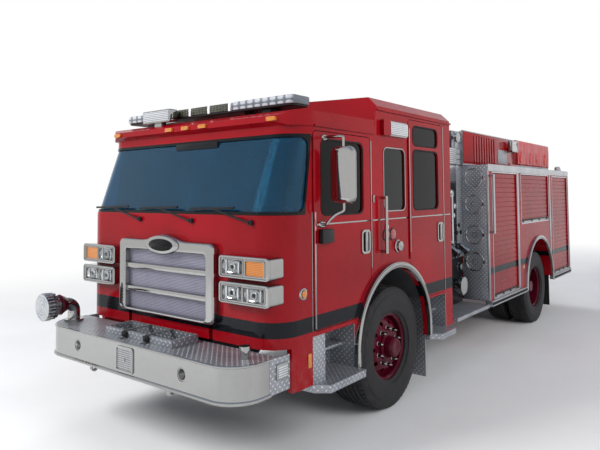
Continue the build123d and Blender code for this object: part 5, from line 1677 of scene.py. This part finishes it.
    def body_side(self, shop: Workshop, side: Side) -> None:
        """Strips, lamps, sockets and reflectors on one side of the cab itself."""
        strips = [self.strip((1.6915, 1.7035), (1.340, 2.470), 0.003),
                  self.strip((3.2045, 3.2165), (0.955, 2.720), 0.003),
                  self.strip((0.818, 0.832), (0.955, 1.860), 0.003),
                  self.strip((1.712, 2.396), self.belt, 0.0035),
                  self.strip((3.222, 3.376), self.belt, 0.0035),
                  self.window_seal((1.920, 2.320), (1.840, 2.420), 0.010, 0.005)]
        clip = plate(self.skin, (1.715, 1.740), (1.918, 1.985), (0.0, 0.012), 0.008, 0.002)
        inlet = (self.skin, station(2.160), 1.500)
        socket = [lathe([(0.0, 0.0), (0.0, 0.058), (0.010, 0.060), (0.016, 0.050), (0.040, 0.046), (0.044, 0.036),
                         (0.044, 0.0)], inlet, OUTWARD, 32),
                  plate(self.skin, (2.130, 2.190), (1.494, 1.506), (0.04, 0.049), soft=0.002)]
        rings = [lathe([(0.0, 0.046), (0.0, 0.062), (0.006, 0.060), (0.008, 0.052), (0.006, 0.046), (0.0, 0.046)],
                       (self.skin, station(y), self.lamp_z), OUTWARD, 32) for y in self.lamp_ys]
        marker = lathe([(0.0, 0.030), (0.0, 0.047), (0.008, 0.044), (0.011, 0.036), (0.008, 0.030), (0.0, 0.030)],
                       (self.skin, station(0.705), 1.250), OUTWARD, 32)
        lamps = [stud((self.skin + 0.0003, station(y), self.lamp_z), OUTWARD, 0.050, 0.016, 0.5)
                 for y in self.lamp_ys]
        reflector = plate(self.skin, (0.755, 0.795), (0.690, 0.795), (0.0, 0.008), 0.006, 0.002)
        plug = plate(self.skin, (1.935, 1.975), (1.672, 1.708), (0.0, 0.014), 0.006, 0.002)
        for kind, parts, finish in (("strips", strips, "chrome"), ("fittings", [clip, marker] + socket, "chrome"),
                                    ("lamp_rings", rings, "black_plastic"), ("lamps", lamps, "red_lens"),
                                    ("reflector", [reflector], "amber_lens"), ("socket", [plug], "lamp_white")):
            shop.piece(f"cab_side_{kind}_{side.label}", on(side, parts), finish, "cab")


@dataclass
class PumpBay:
    """The pump's panels, gauges and levers, the tread plate wall behind them and its round doors."""

    face: float = 0.912
    wall_y: float = station(4.440)
    lid_x: float = 1.078
    lid_zs: tuple[float, ...] = (2.190, 1.850, 1.460, 1.120)
    lid: float = 0.122
    side: float = 0.904
    pull_zs: Span = (1.590, 1.500)

    def build(self, shop: Workshop) -> None:
        """Make both sides."""
        lids, rings = self.lids()
        shop.piece("bottle_lids", pair(lids), "tread_plate", replaces=("bottle_doors",), slot="bright_steel")
        wall = slab((0.9145, self.wall_y - 0.006, 0.645), (1.2535, self.wall_y - 0.0004, 2.350), soft=0.0015)
        tower = [plate(0.0, (4.262, 4.438), (2.348, 2.788), (0.9002, 0.9045), soft=0.001),
                 plate(0.0, (4.262, 4.432), (1.182, 2.346), (0.9122, 0.9162), soft=0.001)]
        edge = slab((1.2400, self.wall_y - 0.009, 0.645), (1.2560, self.wall_y - 0.0002, 2.300), soft=0.002)
        for name, parts, finish in (
                ("bottle_lid_rings", rings, "chrome"),
                ("body_front_walls", [wall] + tower, "tread_plate"),
                ("body_front_edges", [edge], "satin_up"),
                # The pump's near-black panels are painted shade of the walkway.
                ("pump_control_panels", self.panels(), "panel_black"),
                ("pump_upper_panels", self.upper(), "panel_white"),
                ("gauge_rims", self.gauges(False), "chrome"),
                ("gauge_faces", self.gauges(True), "gauge_face"),
                ("valve_levers", self.levers(), "chrome"),
                ("valve_knobs", self.knobs(), "black_plastic"),
                ("tower_lamps", self.tower_lamp(), "chrome")):
            shop.piece(name, pair(parts), finish)

    def lids(self) -> tuple[list[Part], list[Part]]:
        """The round doors, and their bright rims and latches."""
        lids, rings = [], []
        for z in self.lid_zs:
            place = (self.lid_x, self.wall_y - 0.0065, z)
            lids.append(lathe([(0.0, 0.0), (0.0, self.lid - 0.012), (0.004, self.lid - 0.013), (0.006, 0.0)],
                              place, AHEAD))
            rings.append(lathe([(0.0, self.lid - 0.016), (0.0, self.lid), (0.007, self.lid - 0.001),
                                (0.011, self.lid - 0.008), (0.007, self.lid - 0.015), (0.0, self.lid - 0.016)],
                               place, AHEAD))
            y = self.wall_y
            rings.append(lathe([(0.0, 0.030), (0.0, 0.036), (0.004, 0.035), (0.004, 0.031), (0.0, 0.030)],
                               (self.lid_x, y - 0.012, z), AHEAD, 24))
            rings.append(slab((self.lid_x - self.lid - 0.014, y - 0.019, z - 0.016),
                              (self.lid_x - self.lid + 0.016, y - 0.007, z + 0.016), soft=0.003))
            rings.append(slab((self.lid_x + self.lid - 0.018, y - 0.019, z - 0.022),
                              (self.lid_x + self.lid + 0.010, y - 0.007, z + 0.022), soft=0.003))
        return lids, rings

    def panels(self) -> list[Part]:
        """Near-black control panels under the bright ones, standing for the shade in the pump's walkway: painted
        shade.
        """
        return [plate(self.face, (3.505, 4.255), (1.190, 2.120), (0.0003, 0.003), soft=0.001),
                plate(0.0, (3.460, 4.425), (0.612, 1.172), (0.9003, self.side), soft=0.001)]

    def upper(self) -> list[Part]:
        """Level ribs over the control panel and the plain panel below them."""
        found = [plate(self.face, (3.505, 4.255), (2.146, 2.340), (0.0003, 0.004), soft=0.0015)]
        for index in range(8):
            low = 2.362 + index * 0.0255
            found.append(plate(0.0, (3.500, 4.258), (low, low + 0.019), (0.9203, 0.9265), soft=0.003))
        return found

    def gauges(self, faces: bool) -> list[Part]:
        """The gauges' rims, or their pale faces.

        Args:
            faces: Whether to make the faces.

        Returns:
            One part for each gauge.
        """
        found = []
        rows = ((1.985, 0.058, (3.60, 3.76, 3.92, 4.10)), (1.830, 0.040, (3.60, 3.72, 3.84, 3.96, 4.08, 4.19)),
                (1.715, 0.034, (3.66, 3.84, 4.02, 4.17)))
        for z, radius, stations in rows:
            for y in stations:
                place = (self.face + 0.003, station(y), z)
                if faces:
                    outline = [(0.0, 0.0), (0.0, radius * 0.86), (0.005, radius * 0.84), (0.0055, 0.0)]
                else:
                    outline = [(0.0, radius * 0.84), (0.0, radius), (0.012, radius * 0.97), (0.015, radius * 0.90),
                               (0.012, radius * 0.84), (0.0, radius * 0.84)]
                found.append(lathe(outline, place, OUTWARD, 24 if faces else 28))
        return found

    def pulls(self) -> list[Span]:
        """Y and height of each pull rod."""
        return [(station(3.58 + index * 0.125 + row * 0.05), z) for row, z in enumerate(self.pull_zs)
                for index in range(6)]

    def levers(self) -> list[Part]:
        """Pull rods, their collars and the small capped drains below them."""
        found = []
        for y, z in self.pulls():
            found.append(stud((self.face + 0.003, y, z), OUTWARD, 0.019, 0.010))
            found.append(rod((self.face + 0.003, y, z), (self.face + 0.052, y, z), 0.006, sides=10))
        for y, z, radius in ((3.60, 1.080, 0.040), (3.74, 1.060, 0.032), (4.30, 1.060, 0.045), (3.66, 0.800, 0.052),
                             (4.30, 0.780, 0.040), (3.56, 0.940, 0.030)):
            found.append(stud((self.side, station(y), z), OUTWARD, radius * 1.25, 0.012))
            found.append(stud((0.910, station(y), z), OUTWARD, radius, 0.055, 0.15))
            found.append(slab((0.950, station(y) - radius * 1.15, z - 0.007),
                              (0.962, station(y) + radius * 1.15, z + 0.007), soft=0.003))
        return found

    def knobs(self) -> list[Part]:
        """Grips on the pull rods."""
        return [slab((self.face + 0.046, y - 0.013, z - 0.026), (self.face + 0.066, y + 0.013, z + 0.026),
                     0.010, "X", 0.004) for y, z in self.pulls()]

    def tower_lamp(self) -> list[Part]:
        """A round lamp at the outer corner of the tower's top."""
        place = (0.905, station(4.225), 2.700)
        return [lathe([(0.0, 0.0), (0.0, 0.020), (0.022, 0.024), (0.030, 0.056), (0.050, 0.066), (0.066, 0.064),
                       (0.070, 0.054), (0.062, 0.0)], place, OUTWARD, 32)]


@dataclass
class BodySides:
    """Frames, bars and rails on the body's sides and back, and the lamps it carries."""

    skin: float = 1.255
    rear: float = station(8.395)
    shutter: float = 1.2492
    rail: float = 1.2852
    doors: tuple[tuple[float, float, float, float], ...] = (
        (4.600, 5.560, 0.650, 2.250), (5.750, 7.120, 1.550, 2.250), (7.350, 8.300, 0.650, 2.240))

    def build(self, shop: Workshop) -> None:
        """Make both sides and the back."""
        bead = arch_bead(self.skin + 0.014, 6.56, 0.630, 0.675, 0.582)
        dome, base = self.beacon()
        marker = (self.skin, station(5.795), 0.925)
        ring = lathe([(0.0, 0.020), (0.0, 0.033), (0.007, 0.031), (0.008, 0.024), (0.0, 0.020)], marker, OUTWARD, 24)
        lamp = stud(marker, OUTWARD, 0.024, 0.014, 0.5)
        for name, parts, finish, *replaces in (
                ("rear_arch_beads", [bead], "chrome"), ("body_frames", self.frames(), "satin_up"),
                ("shutter_bars", self.bars(False), "satin"), ("shutter_straps", self.bars(True), "black_plastic"),
                ("rub_rail_lines", self.rail_lines(False), "satin"),
                ("rub_rail_grooves", self.rail_lines(True), "rubber"),
                ("box_lamp_heads", self.box_lamp(False), "chrome", "body_lamps"),
                ("box_lamp_lenses", self.box_lamp(True), "clear_lens"),
                ("rear_lamp_bezels", self.rear_bezels(), "chrome"),
                ("rear_stop_lamps", self.rear_lenses((0.910, 1.072), (1.078, 1.240)), "red_lens"),
                ("rear_turn_lamps", self.rear_lenses((1.510, 1.740)), "amber_lens"),
                ("rear_upper_lamps", self.rear_lenses((2.090, 2.270)), "red_lens"),
                ("beacon_bases", base, "chrome"), ("beacon_domes", dome, "clear_lens"),
                ("body_marker_rings", [ring], "chrome"), ("body_markers", [lamp], "amber_lens")):
            shop.piece(name, pair(parts), finish, replaces=tuple(replaces))

    def rear_lenses(self, *spans: Span) -> list[Part]:
        """A lens in the rear lamps for each pair of heights."""
        return [slab((1.048, self.rear + 0.006, low), (1.192, self.rear + 0.024, high), 0.014, "Y", 0.006)
                for low, high in spans]

    def frames(self) -> list[Part]:
        """Bright frames round the shutters, the corner trims and the top line."""
        found = []
        for start, end, low, high in self.doors:
            found.append(hoop((self.skin + 0.0003, station(start - 0.018), low - (0.012 if low > 1 else 0.006)),
                              (self.skin + 0.0045, station(end + 0.018), high + 0.018), 0.004, "X", 0.016, 2))
        for start, end, low in ((4.442, 4.470, 0.648), (5.592, 5.640, 0.648), (7.190, 7.238, 0.990),
                                (8.368, 8.394, 0.648)):
            found.append(plate(self.skin, (start, end), (low, 2.286), (0.0003, 0.0055), soft=0.0015))
        found.append(plate(self.skin, (4.442, 8.394), (2.272, 2.288), (0.0003, 0.0058), soft=0.0015))
        found.append(hoop((-0.470, self.rear - 0.0145, 0.985), (0.470, self.rear - 0.0105, 2.015), 0.004, "Y",
                          0.018, 2))
        return found

    def bars(self, dark: bool) -> list[Part]:
        """The shutters' bottom bars, or the dark grips on them.

        Args:
            dark: Whether to make the grips.

        Returns:
            The parts.
        """
        found = []
        for start, end, low, _ in self.doors:
            if not dark:
                found.append(slab((self.shutter, station(start + 0.004), low + 0.006),
                                  (1.2525, station(end - 0.004), low + 0.026), soft=0.001))
                continue
            found.append(slab((self.shutter, station(start + 0.010), low + 0.030),
                              (1.2535, station(end - 0.010), low + 0.052), soft=0.0015))
            for share in (0.06, 0.36, 0.64, 0.94):
                y = station(start + (end - start) * share)
                found.append(slab((self.shutter, y - 0.024, low + 0.012), (1.2590, y + 0.024, low + 0.050),
                                  0.008, "X", 0.002))
        return found

    def rail_lines(self, groove: bool) -> list[Part]:
        """Two bright lips along each rub rail, or the dark groove between them."""
        spans = ((4.446, 5.850), (7.270, 8.320))
        if groove:
            return [plate(0.0, span, (0.590, 0.622), (self.rail, 1.2864)) for span in spans]
        return [plate(0.0, span, (low, low + 0.012), (self.rail, 1.2885), soft=0.0012)
                for span in spans for low in (0.576, 0.624)]

    def box_lamp(self, lens: bool) -> list[Part]:
        """The scene lamp on the bed's wall: its bright head, or its lens."""
        if lens:
            return [plate(0.0, (6.150, 6.410), (2.628, 2.774), (1.012, 1.020), 0.020, 0.003)]
        head = plate(0.0, (6.134, 6.426), (2.612, 2.790), (0.955, 1.012), 0.030, 0.010)
        rim = hoop((1.008, station(6.136), 2.614), (1.022, station(6.424), 2.788), 0.028, "X", 0.018)
        foot = plate(0.0, (6.230, 6.330), (2.640, 2.740), (0.9405, 0.960), soft=0.004)
        return [head, rim, foot]

    def rear_bezels(self) -> list[Part]:
        """Bright rims of the rear lamps."""
        return [hoop((1.040, self.rear + 0.0003, low), (1.200, self.rear + 0.016, high), 0.016, "Y", 0.010)
                for low, high in ((0.900, 1.250), (1.500, 1.750), (2.080, 2.280))]

    def beacon(self) -> tuple[list[Part], list[Part]]:
        """The rear beacons' domes and bases."""
        foot = (1.130, station(8.230), 2.360)
        base = lathe([(0.0, 0.0), (0.0, 0.060), (0.020, 0.060), (0.026, 0.055), (0.028, 0.0)], foot, UPWARD, 32)
        dome = lathe([(0.027, 0.0), (0.027, 0.052), (0.060, 0.050), (0.078, 0.042), (0.086, 0.026), (0.089, 0.0)],
                     foot, UPWARD, 32)
        return [dome], [base]


@dataclass
class HoseBed:
    """The bed's ribbed red walls, their bright caps and the vinyl cover with its ties."""

    wall: float = 0.940
    start: float = 4.444
    cover: Span = (6.600, 8.350)
    cover_top: float = 2.829
    hem: float = 2.444
    corner: float = 0.030
    thickness: float = 0.0022

    def build(self, shop: Workshop) -> None:
        """Make the bed's pieces."""
        cap = plate(0.0, (self.start, 6.590), (2.8003, 2.814), (0.914, 0.946), soft=0.003)
        patch = plate(self.wall, (5.720, 6.110), (2.420, 2.625), (0.004, 0.0075), soft=0.001)
        shop.pieces(
            "chassis",
            ("bed_walls", pair(self.walls()), "roof_paint"),
            ("bed_wall_caps", pair([cap]), "satin"), ("bed_wall_patches", pair([patch]), "tread_plate"))
        self.sheet(shop)
        self.flap(shop)
        shop.piece("cover_ties", pair(self.ties()), "tie_web")

    def walls(self) -> list[Part]:
        """Red wall sheets with upright ribs."""
        found = [plate(self.wall, (self.start, 6.590), (2.381, 2.799), (0.0003, 0.004), soft=0.001)]
        for index in range(9):
            y = station(4.80 + index * 0.095)
            found.append(slab((self.wall + 0.0035, y, 2.392), (self.wall + 0.013, y + 0.045, 2.770), soft=0.005))
        return found

    def sheet(self, shop: Workshop) -> None:
        """The cover: one sheet over the bed with hanging sides and a little slack between the hoops."""
        side = self.wall + 0.010
        drop = self.cover_top - self.hem
        flat = (2 * side + 2 * drop, self.cover[1] - self.cover[0])
        part = bmesh.new()
        across, along = 104, 56
        bmesh.ops.create_grid(part, x_segments=across, y_segments=along, size=0.5)
        for vert in part.verts:
            run = vert.co.x * flat[0]
            y = self.cover[0] + (vert.co.y + 0.5) * flat[1]
            slack = math.sin(math.pi * ((y - self.cover[0]) / flat[1] * 3 % 1.0))
            past = abs(run) - (side - self.corner)
            sign = math.copysign(1.0, run)
            if past <= 0:
                edge = max(0.0, 1 - (abs(run) / side) ** 6)
                ripple = 0.004 * math.sin(y * 21 + run * 3) + 0.003 * math.sin(y * 47 - run * 7)
                place = (run, self.cover_top - edge * (0.012 * slack + 0.004) + edge * ripple * 0.6)
                out = 0.0
            elif past < self.corner * math.pi / 2:
                turn = past / self.corner
                place = (sign * (side - self.corner + self.corner * math.sin(turn)),
                         self.cover_top - self.corner * (1 - math.cos(turn)))
                out = 0.0
            else:
                hang = past - self.corner * math.pi / 2
                low = min(1.0, hang / 0.25)
                out = low * (0.006 * math.sin(y * 16 + 1.0) + 0.004 * math.sin(y * 37 + hang * 9)) - 0.002 * low
                place = (sign * (side + max(-0.006, out)), self.cover_top - self.corner - hang)
            vert.co = (place[0], station(y), place[1])
        outward(part)
        cover = shop.piece("hose_cover_sheet", [part], "cover_cloth", replaces=("hose_cover",), angle=80.0)
        self.thicken(cover)

    def flap(self, shop: Workshop) -> None:
        """The cover's hanging rear flap, a sheet sewn to its edge."""
        width, drop = 2 * self.wall, self.cover_top - self.hem
        part = bmesh.new()
        bmesh.ops.create_grid(part, x_segments=72, y_segments=20, size=0.5)
        for vert in part.verts:
            x, down = vert.co.x * width, (0.5 - vert.co.y) * drop
            wave = 0.006 * math.sin(x * 14) + 0.003 * math.sin(x * 33 + down * 8)
            vert.co = (x, station(self.cover[1]) + 0.002 + down / drop * wave, self.cover_top - 0.004 - down)
        outward(part)
        flap = shop.piece("hose_cover_flap", [part], "cover_cloth", angle=80.0)
        self.thicken(flap)

    def thicken(self, piece: bpy.types.Object) -> None:
        """Give a sheet the cloth's thickness."""
        cloth = piece.modifiers.new("cloth", "SOLIDIFY")
        cloth.thickness = self.thickness
        cloth.offset = 0.0

    def ties(self) -> list[Part]:
        """Slanting webbing ties that hold the cover down."""
        found = []
        for y in (6.72, 7.26, 7.62, 8.08):
            for lean in (0.07, -0.05):
                tie = slab((self.wall + 0.0185, station(y) - 0.011, 2.470),
                           (self.wall + 0.0205, station(y) + 0.011, 2.660), soft=0.0008)
                for vert in tie.verts:
                    vert.co.y += (vert.co.z - 2.47) / 0.19 * lean
                found.append(tie)
        return found


@dataclass
class CabInside:
    """Seats with padded cushions, and their boxes."""

    seats: tuple[tuple[float, float, float, int], ...] = (
        (0.82, 1.160, 0.950, 1), (-0.82, 1.160, 0.950, 1), (0.82, 2.600, 1.200, -1), (-0.82, 2.600, 1.200, -1),
        (0.88, 2.890, 0.950, 1), (-0.88, 2.890, 0.950, 1), (0.30, 2.890, 0.950, 1), (-0.30, 2.890, 0.950, 1))
    swell: float = 0.012
    voxel: float = 0.016
    pressure: float = 4.0
    frames: int = 20

    def build(self, shop: Workshop) -> None:
        """Make the seats."""
        cushion = self.pad(slab((-0.232, 0.014, 1.340), (0.232, 0.335, 1.448), 0.05, "Z", 0.022))
        back = self.pad(slab((-0.222, 0.362, 1.462), (0.222, 0.438, 2.085), 0.06, "Y", 0.022))
        boxes = []
        for index, (x, y, base, facing) in enumerate(self.seats):
            parts = [self.at_seat(part, x, y, facing) for part in (cushion, back)]
            seat = shop.piece(f"seat_{index + 1}", parts, "seat_cloth", "cab",
                              ("seats",) if index == 0 else (), 60.0)
            seat.modifiers.new("smooth", "SUBSURF").levels = 1
            seat.modifiers["smooth"].render_levels = 1
            box = slab((-0.188, 0.122, base + 0.002), (0.188, 0.378, 1.328), 0.02, "Z", 0.004)
            boxes.append(self.at_seat(box, x, y, facing))
            box.free()
        shop.piece("seat_boxes", boxes, "black_plastic", "cab")

    def at_seat(self, part: Part, x: float, y: float, facing: int) -> Part:
        """A copy of a seat's part, set at its seat.

        Args:
            part: The part, drawn with the seat's front edge at Y 0.
            x: X of the seat's middle.
            y: Station of its front edge.
            facing: 1 where the seat faces ahead, -1 where it faces back.

        Returns:
            The copy.
        """
        copy = part.copy()
        if facing < 0:
            bmesh.ops.rotate(copy, cent=(0, 0, 0), matrix=Matrix.Rotation(math.pi, 3, "Z"), verts=copy.verts)
        bmesh.ops.translate(copy, vec=(x, station(y), 0.0), verts=copy.verts)
        return copy

    def pad(self, part: Part) -> Part:
        """A pad blown up like a stuffed cushion by cloth simulation, and held near its own shape.

        Args:
            part: The pad's plain shape, which is used up.

        Returns:
            The stuffed pad.
        """
        data = bpy.data.meshes.new("pad")
        part.to_mesh(data)
        part.free()
        pad = placed("pad", data)
        scene = bpy.context.scene
        pad.modifiers.new("even", "REMESH").voxel_size = self.voxel
        graph = bpy.context.evaluated_depsgraph_get()
        even = bpy.data.meshes.new_from_object(pad.evaluated_get(graph))
        pad.modifiers.clear()
        pad.data = even
        before = [vert.co.copy() for vert in even.vertices]
        cloth = pad.modifiers.new("cloth", "CLOTH")
        cloth.settings.use_pressure = True
        cloth.settings.uniform_pressure_force = self.pressure
        cloth.settings.effector_weights.gravity = 0.0
        for number in range(1, self.frames + 1):
            scene.frame_set(number)
        graph = bpy.context.evaluated_depsgraph_get()
        blown = bpy.data.meshes.new_from_object(pad.evaluated_get(graph))
        scene.frame_set(1)
        found = bmesh.new()
        found.from_mesh(blown)
        found.verts.ensure_lookup_table()
        for vert, start in zip(found.verts, before):
            shift = vert.co - start
            if shift.length > self.swell:
                vert.co = start + shift.normalized() * self.swell
        bpy.data.objects.remove(pad)
        for mesh in (data, even, blown):
            bpy.data.meshes.remove(mesh)
        return found


def main() -> None:
    """Build the studio, dress the nodes and add every piece."""
    logging.basicConfig(level=logging.INFO, format="%(message)s")
    Studio().build()
    shop = Workshop()
    shop.dress_nodes()
    for group in (RunningGear, FrontBumper, CabFace, CabSides, PumpBay, BodySides, HoseBed, CabInside):
        group().build(shop)


if __name__ == "__main__":
    main()
